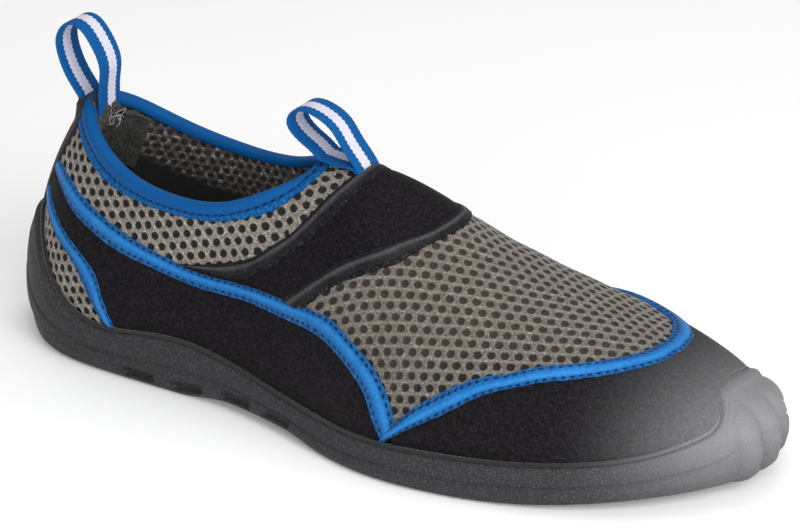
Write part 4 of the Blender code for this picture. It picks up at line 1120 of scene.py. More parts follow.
class SHOE_OT_sole(ShoePart):
    """Cup sole with its lip, stepped wall, arch slots, toe lobes and channelled tread"""

    bl_idname = "shoe.sole"
    bl_label = "Sole"

    def make(self, sizes, colours):
        """Rows from the floor's edge over the lip and down the wall, then the tread less its channels."""
        turns = both_sides(even_turns(0.0, 180.0, 0.0, SOLE_COLUMNS))[:-1]
        station = station_of(turns)
        nx, ny = outward(turns)
        out = np.stack([nx, ny, 0 * nx], -1)
        px, py = outline(turns)
        floor_ring = np.stack([px, py, FLOOR_THICKNESS + toe_rise(station)], -1) + out * GAP
        wall = self.wall(turns, px, py, out)
        rows = np.concatenate([floor_ring[:, None], self.lip(turns, wall), wall], 1)
        under = level_rows(rows[:, -1], np.linspace(0, 1, TREAD_STRIPS + 1))
        under_station = station_at(under[..., 0])
        depth = self.channels(under, under_station)
        under[:, 1:-1, 2] = (tread_height(under_station) + depth)[:, 1:-1]
        floor = level_rows(floor_ring, np.linspace(0, 1, FLOOR_STRIPS + 1))
        floor[..., 2] = FLOOR_THICKNESS + toe_rise(station_at(floor[..., 0]))
        points = [rows.reshape(-1, 3), under.reshape(-1, 3), floor.reshape(-1, 3)]
        first = grid_corners(rows.shape[0], rows.shape[1], True, False)
        second = grid_corners(under.shape[0], under.shape[1], False, False) + len(points[0])
        third = grid_corners(floor.shape[0], floor.shape[1], False, False) + len(points[0]) + len(points[1])
        quads = np.concatenate([first[:, ::-1], second, third[:, ::-1]])
        rubber = pebbled_rubber("sole_rubber", colours, sizes.pebble)
        mesh = mesh_of("cup_sole", np.concatenate(points), quads, rubber)
        weld_mesh(mesh)
        place("cup_sole", mesh, ["outsole"])

    def wall(self, turns, px, py, out):
        """Outer wall: offsets from the upper by share of height, with the toe lobes and less the slots."""
        station = station_of(turns)
        lip = soft_lip(turns)
        foot = tread_height(station)
        height = np.linspace(LIP_EDGE, 0.0, WALL_ROWS)
        fine = np.linspace(0, 1, 240)
        thick = np.interp(fine, SOLE_WALL["height"][::-1], SOLE_WALL["thick"][::-1])
        thick = np.convolve(np.pad(thick, 6, "edge"), np.hanning(13) / np.hanning(13).sum(), "valid")
        thick = np.interp(height, fine, thick) - STEP_CREASE * np.exp(-((height - STEP_SHARE) / 0.022) ** 2)
        z = foot[:, None] + height * (lip - foot)[:, None]
        base = upper_point(turns[:, None], up_at(turns, z))
        heel = HEEL_PROUD * (1 - smooth(station, 0.0, 0.12))
        rounding = np.sin(np.pi * np.minimum(1.0, height + 0.12)) ** 0.5
        lobe = LOBE_PROUD * bumper(turns)[:, None] ** 0.8 * rounding
        width = GAP + (WALL_THICKNESS + heel)[:, None] * thick + lobe
        width = width - self.slots(px, py, z - foot[:, None])
        wall = base + out[:, None] * width[..., None]
        wall[..., 2] = z
        return wall

    def lip(self, turns, wall):
        """Lip: rows up the upper's face, then a quarter round over to the wall's top row."""
        at_lip = up_at(turns, soft_lip(turns)[:, None])
        inner = on_upper(turns[:, None], at_lip * np.array([[0.4, 0.8, 1.0]]), np.full((1, 1), GAP))
        turn_over = np.radians(np.linspace(6, 84, 9))
        edge = inner[:, -1:]
        reach = wall[:, :1] - edge
        arc = edge + reach * np.stack([np.sin(turn_over), np.sin(turn_over), 1 - np.cos(turn_over)], -1)
        arc[..., 2] += LIP_ROUND * np.sin(turn_over) * np.cos(turn_over)
        return np.concatenate([inner, arc], 1)

    def slots(self, px, py, above_foot):
        """Depth of the arch slots: long dents with soft ends in the lower wall on both sides."""
        depth = 0 * above_foot
        for station in SLOT_STATIONS:
            for turn in (float(turn_of(station)), 360 - float(turn_of(station))):
                middle_x, middle_y = outline(turn)
                near = np.hypot(px - middle_x, py - middle_y)
                along = 1 - smooth(near, SLOT_LENGTH * 0.40, SLOT_LENGTH * 0.62)
                level = 1 - smooth(np.abs(above_foot - SLOT_Z), SLOT_HEIGHT * 0.45, SLOT_HEIGHT * 1.0)
                depth = np.maximum(depth, SLOT_DEPTH * along[:, None] * level)
        return depth

    def channels(self, points, station):
        """Depth of the bowed channels across heel and ball, which end short of the sole's sides."""
        share = np.linspace(0, 1, points.shape[1])[None]
        bow = CHANNEL_SWEEP * (0.5 - (2 * share - 1) ** 2)
        depth = 0 * station
        for middle in (*HEEL_CHANNELS, *BALL_CHANNELS):
            off = np.abs(points[..., 0] - bow - (middle - 0.5) * LAST_LENGTH)
            channel = 1 - smooth(off, CHANNEL_WIDTH * 0.4, CHANNEL_WIDTH * 0.7)
            depth = np.maximum(depth, CHANNEL_DEPTH * channel)
        return depth * tuck(share, 0.05)


class SHOE_OT_mesh_panels(ShoePart):
    """Knitted mesh of the vamp, both quarters and both heel corners"""

    bl_idname = "shoe.mesh_panels"
    bl_label = "Mesh panels"

    def make(self, sizes, colours):
        """Panels whose lift is the relief of a honeycomb of holes laid out in lengths along the cloth."""
        # The tone paints shade onto the vamp's yarn and light onto the quarters' yarn: one yarn, darker on
        # the vamp's top and lighter on the sides
        vamp = knitted_mesh("vamp_mesh", colours, sizes.hole_share, True, 0.74)
        plain = knitted_mesh("quarter_mesh", colours, sizes.hole_share, False, 1.15)
        self.vamp(sizes, vamp)
        for side, mirrored in SIDES:
            self.quarter("quarter_mesh_" + side, sizes, plain, mirrored)
            self.heel_corner("heel_corner_" + side, sizes, plain, mirrored)

    def vamp(self, sizes, finish):
        """Vamp: rows of holes run over the instep, length is measured down from the ridge."""
        middle_turn, middle_up = middle_of(VAMP_TAPE)
        side_turn, side_up = middle_of(SIDE_TAPE)
        front_turn, front_up = middle_of(SADDLE_FRONT_TAPE)
        half = even_turns(VAMP_START, 180.0, 0.6, VAMP_COLUMNS)
        turns = both_sides(half)
        side = np.minimum(turns, 360 - turns)
        by_side = np.interp(side, side_turn[7:], side_up[7:])
        by_tape = np.interp(turns, middle_turn, middle_up)
        corner = middle_turn[0]
        low = np.where(side < corner, by_side, by_tape)
        high = np.interp(side, front_turn, front_up)
        share = np.linspace(0, 1, VAMP_ROWS + 1)
        up = low[:, None] + (high - low)[:, None] * share
        turn = turns[:, None] + 0 * up
        flat = upper_point(turn, up)
        way = np.array([math.cos(RIDGE_SLOPE), 0.0, -math.sin(RIDGE_SLOPE)])
        to_ridge = high[:, None] + (1 - high)[:, None] * np.linspace(0, 1, 12)
        start = self.run(upper_point(turns[:, None] + 0 * to_ridge, to_ridge), way)[:, -1:]
        down = self.run(flat[:, ::-1], way)[:, ::-1] + start
        cloth = np.stack([down, flat @ way], -1) / sizes.hole_pitch
        warm = smooth(share, 0.06, 0.34) * smooth(np.minimum(turn, 360 - turn), 89, 98) + 0 * up
        self.finish_panel("vamp_mesh", sizes, finish, turn, up, share, cloth, ["upper"], warm)

    def run(self, points, way):
        """Length run down each column square to a way: root of step squared less its part along the way."""
        step = np.diff(points, axis=1)
        part = (step * way).sum(-1)
        length = np.sqrt(np.maximum((step ** 2).sum(-1) - part ** 2, 0))
        return np.concatenate([0 * length[:, :1], np.cumsum(length, axis=1)], 1)

    def quarter(self, name, sizes, finish, mirrored):
        """Quarter under the collar, from the heel to the throat."""
        side_turn, side_up = middle_of(SIDE_TAPE)
        rear_turn, rear_up = middle_of(SADDLE_REAR_TAPE)
        knots = np.concatenate([[0.0], side_turn[:6], rear_turn[1:]])
        ups = np.concatenate([side_up[:1], side_up[:6], rear_up[1:]])
        turns = even_turns(0.0, rear_turn[-1] - 0.1, 0.8, QUARTER_COLUMNS)
        low = np.interp(turns, knots, ups)
        self.side_panel(name, sizes, finish, turns, low, 1 + 0 * turns, QUARTER_ROWS, mirrored)

    def heel_corner(self, name, sizes, finish, mirrored):
        """Low corner between the heel tape and the sole."""
        tape_turn, tape_up = middle_of(HEEL_TAPE)
        turns = even_turns(4.0, tape_turn[-1], 0.2, 110)
        high = np.interp(turns, tape_turn, tape_up)
        self.side_panel(name, sizes, finish, turns, 0 * turns + 0.02, high, 90, mirrored)

    def side_panel(self, name, sizes, finish, turns, low, high, rows, mirrored):
        """Panel round the side: rows of holes climb forwards at a fixed angle."""
        share = np.linspace(0, 1, rows + 1)
        up = low[:, None] + (high - low)[:, None] * share
        turn = turns[:, None] + 0 * up
        flat = upper_point(turn, up)
        middle = flat[:, rows // 2]
        ahead = np.gradient(middle, axis=0)
        ahead[:, 2] = 0
        ahead = unit(ahead)
        step = np.diff(middle, axis=0)
        along = np.append(0, np.cumsum(np.hypot(step[:, 0], step[:, 1])))
        run_up = self.run(flat, ahead[:, None])
        along = along[:, None] + ((flat - middle[:, None]) * ahead[:, None]).sum(-1)
        above = middle[:, 2:] * 1.03 + run_up - run_up[:, rows // 2:rows // 2 + 1]
        cosine, sine = math.cos(QUARTER_CLIMB), math.sin(QUARTER_CLIMB)
        forward = along * cosine + above * sine
        climb = above * cosine - along * sine
        cloth = np.stack([forward, climb], -1) / sizes.hole_pitch
        if mirrored:
            turn, up, cloth = 360 - turn[::-1], up[::-1], cloth[::-1]
        self.finish_panel(name, sizes, finish, turn, up, share, cloth, (), 0 * up)

    def finish_panel(self, name, sizes, finish, turn, up, share, cloth, replaces, warm):
        """Lift the panel by its relief and turn its edges in under the tapes."""
        distance = hole_distance(cloth[..., 0], cloth[..., 1])
        flat, out = upper_frame(turn, up)
        lift = mesh_relief(distance, sizes.hole_share) + ripple(flat, 0.028, 0.00025, 3)
        if name == "vamp_mesh":
            at_ridge = np.minimum(turn[:, :1], 360 - turn[:, :1]) > middle_of(SADDLE_FRONT_TAPE)[0][-1]
            edge = smooth(share, 0, 0.02) * np.where(at_ridge, 1.0, smooth(1 - share, 0, 0.02))
        elif name.startswith("quarter"):
            edge = smooth(share, 0, 0.03)
        else:
            edge = tuck(share, 0.03)
        points = flat + out * (lift - EDGE_TUCK * (1 - edge))[..., None]
        marks = {"warm": warm}
        mesh = grid_mesh(name, points, finish, cloth=cloth, marks=marks, weld=name == "vamp_mesh")
        place(name, mesh, replaces)


class SHOE_OT_foam_panels(ShoePart):
    """Foam cloth of the sides, the toe cap and the saddle"""

    bl_idname = "shoe.foam_panels"
    bl_label = "Foam cloth panels"

    def make(self, sizes, colours):
        """Smooth panels, slightly crowned between the tapes, with soft creases."""
        finish = foam_cloth("foam_cloth", colours)
        side_turn, side_up = middle_of(SIDE_TAPE)
        heel_turn, heel_up = middle_of(HEEL_TAPE)
        vamp_turn, vamp_up = middle_of(VAMP_TAPE)
        rear_turn, rear_up = middle_of(SADDLE_REAR_TAPE)
        front_turn, front_up = middle_of(SADDLE_FRONT_TAPE)
        turns = even_turns(0.0, side_turn[-1], 0.3, 230)
        low = np.interp(turns, np.append(heel_turn, heel_turn[-1] + 0.6), np.append(heel_up, 0.0))
        high = np.interp(turns, side_turn, side_up)
        for side, mirrored in SIDES:
            self.panel("side_panel_" + side, finish, turns, low, high, 70, mirrored)
        turns = even_turns(vamp_turn[0], vamp_turn[-1], 0.2, 300)
        self.panel("toe_cap", finish, turns, 0 * turns, np.interp(turns, vamp_turn, vamp_up), 60, False)
        turns = even_turns(rear_turn[0], front_turn[-1], 0.7, 170)
        low_turn = np.concatenate([side_turn[5:8], front_turn])
        low = np.interp(turns, low_turn, np.concatenate([side_up[5:8], front_up]))
        high = np.interp(turns, rear_turn, rear_up)
        for side, mirrored in SIDES:
            self.panel("saddle_" + side, finish, turns, low, high, 110, mirrored)

    def panel(self, name, finish, turns, low, high, rows, mirrored):
        """Crowned panel between two edges: lift is a flattened arch of the share across, less the creases."""
        share = np.linspace(0, 1, rows + 1)
        up = low[:, None] + (high - low)[:, None] * share
        turn = turns[:, None] + 0 * up
        if mirrored:
            turn, up = 360 - turn[::-1], up[::-1]
        flat, out = upper_frame(turn, up)
        crown = FOAM_CROWN * (4 * share * (1 - share)) ** 0.6 + 0 * turn
        edge = tuck(share, 0.03) + 0 * turn
        if name.startswith("saddle"):
            open_top = up[:, -1:] > 0.9995
            crown = np.where(open_top, FOAM_CROWN * np.minimum(4 * share, 1.0) ** 0.6, crown)
            edge = np.where(open_top, smooth(share, 0, 0.03), edge)
        lift = crown + ripple(flat, 0.05, 0.0003, 11) - creases(flat, SOFT_CREASES)
        points = flat + out * (lift - EDGE_TUCK * (1 - edge))[..., None]
        mesh = grid_mesh(name, points, finish)
        place(name, mesh)


class SHOE_OT_tapes(ShoePart):
    """Sewn tapes: blue along the sides, the vamp and the heel, black before and behind the saddle"""

    bl_idname = "shoe.tapes"
    bl_label = "Tapes"

    def make(self, sizes, colours):
        """Each tape's section is a low arch with two stitched grooves and thin edges."""
        rows = ((-0.66, 0.0), (0.66, 0.35))
        blue = sewn_tape("blue_tape", colours.tape_blue, colours.blue_tape_pale_and_highlight, sizes.needle_pitch, rows, 0.42)
        black = sewn_tape("black_tape", colours.tape_black, colours.black_tape_pale_and_highlight, sizes.needle_pitch, rows, 0.46)
        for side, mirrored in SIDES:
            self.strip("side_tape_" + side, SIDE_TAPE, 300, blue, "blue_tape", mirrored, TAPE_LIFT)
            self.strip("heel_tape_" + side, HEEL_TAPE, 120, blue, "blue_tape", mirrored, TAPE_LIFT)
        self.strip("vamp_tape", VAMP_TAPE, 520, blue, "blue_tape", False, TAPE_LIFT * 1.25)
        self.strip("saddle_rear_tape", SADDLE_REAR_TAPE, 150, black, "black_tape", None, TAPE_LIFT * 0.9)
        self.strip("saddle_front_tape", SADDLE_FRONT_TAPE, 150, black, "black_tape", None, TAPE_LIFT * 0.9)

    def edges(self, name, table, steps, mirrored):
        """Both edges of a tape read at even steps along its table."""
        row = np.linspace(0, 1, len(table["turn"]))
        at = np.linspace(0, 1, steps + 1)
        found = [spline(row, table[key], at) for key in ("turn", "up", "low_turn", "low_up")]
        before, after = TAPE_REACH.get(name, (0, 0))
        found = [np.concatenate([
            line[0] - (line[1] - line[0]) * np.arange(before, 0, -1), line,
            line[-1] + (line[-1] - line[-2]) * np.arange(1, after + 1)]) for line in found]
        if mirrored:
            found = [360 - found[0][::-1], found[1][::-1], 360 - found[2][::-1], found[3][::-1]]
        return np.array([found[0], np.clip(found[1], 0, 1), found[2], np.clip(found[3], 0, 1)])

    def strip(self, name, table, steps, finish, slot, mirrored, lift):
        """One tape; with mirrored None it climbs one side and goes down the other."""
        if mirrored is None:
            near = self.edges(name, table, steps, False)
            far = self.edges(name, table, steps, True)
            sections = [self.section(near, lift), self.section(far, lift)[1:]]
            grid = np.concatenate(sections)
        else:
            grid = self.section(self.edges(name, table, steps, mirrored), lift)
        for end in (0, -1):
            grid[end] = grid[end].mean(0)
        length = lengths(grid[:, grid.shape[1] // 4])
        over = 2 * np.append(TAPE_SHARES, TAPE_SHARES[:1]) - 1
        cloth = np.stack(np.broadcast_arrays(length[:, None], over[None]), -1)
        grid, cloth = grid[:, ::-1], cloth[:, ::-1]
        mesh = grid_mesh(name + "_sewn", grid, finish, cloth=cloth, close_columns=True, weld=True)
        place(name + "_sewn", mesh, [name])

    def section(self, edges, lift):
        """Closed section: over the tape by shares and lifts, and back under it."""
        turn, up, low_turn, low_up = edges
        middle_turn = (turn + low_turn) / 2
        middle_up = (up + low_up) / 2
        line = upper_point(middle_turn, middle_up)
        length = lengths(line)
        wave = 0.012 * waver(length, 0.0058) + 0.010 * waver(length, 0.0131, 1.0)
        rows = []
        for share, rise in zip(TAPE_SHARES, TAPE_RISES):
            aside = 2 * share - 1
            at = share + wave * aside * (abs(aside) > EDGE_SHARE)
            at_turn = turn + (low_turn - turn) * at
            at_up = np.minimum(up + (low_up - up) * at, 1.0)
            rows.append(on_upper(at_turn, at_up, rise * lift + 0 * at_turn))
        return np.stack(rows, 1)


class SHOE_OT_binding(ShoePart):
    """Folded binding round the collar"""

    bl_idname = "shoe.binding"
    bl_label = "Collar binding"

    def make(self, sizes, colours):
        """Section: outer flange by lift, half round over the rim, inner flange; closed through the wall."""
        fold_turn, low_turn, low_up = self.fold()
        middle = on_upper(fold_turn, 1 + 0 * fold_turn, -UPPER_WALL / 2 + 0 * fold_turn)
        edge = np.roll(middle, -1, axis=0) - np.roll(middle, 1, axis=0)
        length = lengths(middle)
        edge = unit(edge)
        away = upper_point(fold_turn, 1.0) - upper_point(fold_turn, RIM_NORMAL)
        away = away - edge * (away * edge).sum(-1, keepdims=True)
        away = unit(away)
        ragged = 0.03 * waver(length, 0.0050) + 0.02 * waver(length, 0.0017)

        def flange(share, lift):
            """Column points a share of the way down to the lower edge."""
            turn = fold_turn + (low_turn - fold_turn) * share
            return on_upper(turn, np.minimum(1 + (low_up - 1) * share, 1.0), lift + 0 * turn)

        rows = []
        downs = []
        for share, lift in zip(BINDING_SHARES, BINDING_LIFTS):
            shift = ragged if share > 0.97 else 0.0
            rows.append(flange(share + shift, GAP + lift * BINDING_THICKNESS))
            downs.append(share)
        outer = GAP + BINDING_LIFTS[-1] * BINDING_THICKNESS
        inner = -UPPER_WALL - BINDING_THICKNESS - GAP
        start = flange(0.0, outer)
        end = flange(0.0, inner)
        centre = (start + end) / 2
        spread = (start - end) / 2
        for angle in np.radians(np.linspace(15, 165, 11)):
            roll = away * (BINDING_THICKNESS + GAP) * math.sin(angle)
            rows.append(centre + spread * math.cos(angle) + roll)
            downs.append(-0.02 - 0.02 * math.degrees(angle) / 15)
        for share in BINDING_INNER_SHARES:
            rows.append(flange(share, inner - 0.0002 * math.sin(math.pi * share / BINDING_INNER_SHARES[-1])))
            downs.append(-0.5 - share)
        rows.append(flange(BINDING_INNER_SHARES[-1], -UPPER_WALL * 0.8))
        downs.append(-1.2)
        grid = np.stack(rows, 1)
        around = np.append(length, length[-1] + np.linalg.norm(middle[0] - middle[-1]))
        cloth = np.stack(np.broadcast_arrays(around[:, None], np.array(downs + downs[:1])[None]), -1)
        finish = binding_cloth("binding_cloth", colours, sizes.needle_pitch)
        name = "collar_binding_cloth"
        mesh = grid_mesh(name, grid, finish, cloth=cloth, close_rows=True, close_columns=True)
        place(name, mesh, ["collar_binding"])

    def fold(self):
        """Turns of the fold all round, and the turn and share up of the lower edge below each."""
        half = even_turns(0.0, THROAT_TURN, 1.0, 300)
        knots = np.array(BINDING["fold"]) * THROAT_TURN
        low_turn = spline(knots, BINDING["turn"], half)
        low_up = np.clip(spline(knots, BINDING["up"], half), 0, 1)
        fold_turn = np.concatenate([half, 360 - half[-2:0:-1]])
        low_turn = np.concatenate([low_turn, 360 - low_turn[-2:0:-1]])
        low_up = np.concatenate([low_up, low_up[-2:0:-1]])
        return fold_turn, low_turn, low_up


class SHOE_OT_pull_loops(ShoePart):
    """Webbing pull loops at the heel and in front of the throat"""

    bl_idname = "shoe.pull_loops"
    bl_label = "Pull loops"

    def make(self, sizes, colours):
        """Paths in x and z: up from inside the upper, round the free run and down outside it."""
        finish = webbing_cloth("webbing", colours, sizes.rib_pitch, sizes.stripe_share)
        over = GAP + BINDING_THICKNESS + GAP + WEBBING_THICKNESS / 2
        inside = -UPPER_WALL - over - INSIDE_GAP - HEEL_LOOP_STANDOFF
        front = on_upper(np.zeros(3), HEEL_LOOP_FRONT_UPS, np.full(3, inside))[:, ::2]
        lifts = np.array([HEEL_LOOP_FOOT_LIFT, 0.9 * over, over])
        back = on_upper(np.zeros(3), HEEL_LOOP_BACK_UPS, lifts)[:, ::2]
        fold = np.array([COLLAR_REAR_X, HEEL_HEIGHT])
        run = self.free_run(HEEL_LOOP, HEEL_LOOP_LENGTH, fold, HEEL_LOOP_SHIFT)
        self.webbing("heel_pull_loop", [*front, *run[:-1], *back[::-1]], finish)
        flat = GAP + WEBBING_THICKNESS / 2
        under = -WEBBING_THICKNESS
        low = on_upper(THROAT_TURN + LOOP_LOW_TURNS, np.ones(4), np.array([under, flat, flat, over]))
        lifts = np.array([flat + WEBBING_THICKNESS + GAP, under])
        high = on_upper(THROAT_TURN + LOOP_HIGH_TURNS, np.ones(2), lifts)
        fold = np.array([THROAT_X, float(top_line(THROAT_TURN)[2])])
        run = self.free_run(INSTEP_LOOP, INSTEP_LOOP_LENGTH, fold, INSTEP_LOOP_SHIFT)
        self.webbing("instep_pull_loop", [*low[:, ::2], *run[:-1], *high[:, ::2]], finish)

    def free_run(self, table, length, fold, shift):
        """Points of a loop's free run, from its table and the collar's fold, moved most at the crown."""
        points = []
        for run, rise in zip(table["run"], table["rise"]):
            moved = shift * np.array([smooth(rise, 0.1, 0.6), 1.0])
            points.append(fold + length * np.array([run, rise]) + moved)
        return points

    def webbing(self, name, path, finish):
        """Strip along a path: its section is a flattened oval, and its edges waver with a sine."""
        path = np.asarray(path, float)
        row = np.linspace(0, 1, len(path))
        at = np.linspace(0, 1, 900)
        x, z = spline(row, path[:, 0], at), spline(row, path[:, 1], at)
        length = np.append(0, np.cumsum(np.hypot(np.diff(x), np.diff(z))))
        even = np.linspace(0, length[-1], 300)
        x, z = np.interp(even, length, x), np.interp(even, length, z)
        dx, dz = np.gradient(x), np.gradient(z)
        size = np.hypot(dx, dz)
        normal = np.stack([-dz / size, 0 * x, dx / size], -1)
        across = np.concatenate([np.linspace(-1, 1, 19), np.linspace(1, -1, 19)])
        side = np.repeat([1.0, -1.0], 19) * np.sqrt(1 - np.abs(across) ** 12 * 0.85)
        centre = np.stack([x, 0 * x, z], -1)
        edge = WEBBING_WIDTH / 2 * (1 + 0.010 * waver(even, 0.0017))
        grid = centre[:, None] + normal[:, None] * (side * WEBBING_THICKNESS / 2)[None, :, None]
        grid[..., 1] += across[None] * edge[:, None]
        for end in (0, -1):
            grid[end] = grid[end].mean(0)
        cloth = np.stack(np.broadcast_arrays(even[:, None], np.append(across, across[0])[None]), -1)
        grid, cloth = grid[:, ::-1], cloth[:, ::-1]
        mesh = grid_mesh(name + "_webbing", grid, finish, cloth=cloth, close_columns=True, weld=True)
        place(name + "_webbing", mesh, [name])


class SHOE_OT_heel_strip(ShoePart):
    """Knit strip up the back of the heel"""

    bl_idname = "shoe.heel_strip"
    bl_label = "Heel strip"

    def make(self, sizes, colours):
        """Crowned strip between two turns of the upper: it rises over the loop's tail and the tapes' ends."""
        share = np.linspace(0, 1, 81)
        turns = STRIP_TURN * np.linspace(-1, 1, 41)
        side = np.abs(turns / STRIP_TURN)[:, None]
        up = STRIP_FOOT + (STRIP_TOP - STRIP_FOOT) * share[None]
        over_tail = smooth(up, 0.74, 0.97) * (1 - smooth(side, 0.62, 0.96))
        lift = STRIP_LIFT - 0.0002 * side ** 2 + STRIP_OVER_TAIL * over_tail + 0.0003 * smooth(up, 0.78, 0.86)
        lift = np.where((side > 0.98) | (share[None] > 0.99) | (share[None] < 0.01), -0.0004, lift)
        turn = turns[:, None] + 0 * up
        finish = plain_cloth("strip_knit", colours.hole, colours.yarn_dark, 0.0004, 0.85, 0.1)
        mesh = grid_mesh("heel_strip_knit", on_upper(turn, up + 0 * turn, lift), finish)
        place("heel_strip_knit", mesh, ["heel_strip"])
        self.patch(colours)
        self.threads(colours)

    def patch(self, colours):
        """Uneven patch inside the heel: it covers the webbing's foot and sags beside it."""
        share = np.linspace(0, 1, 81)
        turns = PATCH_TURN * np.linspace(-1, 1, 61)
        side = np.abs(turns / PATCH_TURN)[:, None]
        up = PATCH_FOOT + (1.0 - PATCH_FOOT) * share[None]
        cover = smooth(up, 0.60, 0.78) * (1 - smooth(side, 0.30, 0.80))
        lift = PATCH_LIFT - PATCH_DEPTH * cover
        turn = turns[:, None] + 0 * up
        edge = (side > 0.97) | (share[None] < 0.02) | (share[None] > 0.985)
        flat, out = upper_frame(turn, up + 0 * turn)
        lift = np.where(edge, PATCH_EDGE_LIFT, lift + ripple(flat, 0.006, 0.0006, 5) * (0.4 + cover))
        points = flat + out * lift[..., None]
        top = smooth(share, 0.86, 1.0)[None]
        points[..., 2] += PATCH_LAP * cover * top * (1 - smooth(side, 0.30, 0.60))
        points[..., 2] -= PATCH_SAG * top * smooth(side, 0.35, 0.65)
        finish = plain_cloth("patch_knit", colours.hole, colours.patch, 0.0009, 0.9, 0.1)
        place("heel_patch", grid_mesh("heel_patch", points[:, ::-1], finish))

    def threads(self, colours):
        """Loose thread ends over the patch: thin tubes along sums of two sines, placed from a seed.

        Each draws a turn and a share up; one far from the middle draws again for a lower share up.
        """
        draw = np.random.default_rng(8)
        around = np.linspace(0, 2 * math.pi, 6)[:-1]
        at = np.linspace(0, 1, 36)[:, None]
        points = []
        quads = []
        for _ in range(THREADS):
            turn = draw.uniform(-0.75, 0.75) * PATCH_TURN
            up, lift = draw.uniform(0.86, 0.97), -0.0032 - PATCH_DEPTH * 0.9
            if abs(turn) > THREAD_SIDE * PATCH_TURN:
                up, lift = draw.uniform(0.84, 0.92), -0.0034
            start = on_upper(np.array([turn]), np.array([up]), np.array([lift]))
            ways = draw.normal(size=(4, 3)) * (1.0, 1.0, 0.6)
            swing = ways[0] * np.sin(at * draw.uniform(4, 9))
            swing = swing + ways[1] * np.sin(at * draw.uniform(3, 7) + 1.0)
            line = start + THREAD_SWING * swing + ways[2] * THREAD_LEAN * at
            line[:, 0] += THREAD_LEAN * at[:, 0]
            ahead = unit(np.gradient(line, axis=0))
            first = unit(np.cross(ahead, ways[3]))
            second = np.cross(ahead, first)
            ring = circle(first, second, around)
            tube = line[:, None] + ring * THREAD_RADIUS
            tube[0], tube[-1] = line[0], line[-1]
            quads.append(grid_corners(len(at), len(around), False, True) + sum(len(part) for part in points))
            points.append(tube.reshape(-1, 3))
        finish = plain_cloth("thread", colours.yarn, colours.lining_light, 0.0003, 0.7)
        mesh = mesh_of("heel_threads", np.concatenate(points), np.concatenate(quads), finish)
        weld_mesh(mesh)
        place("heel_threads", mesh)


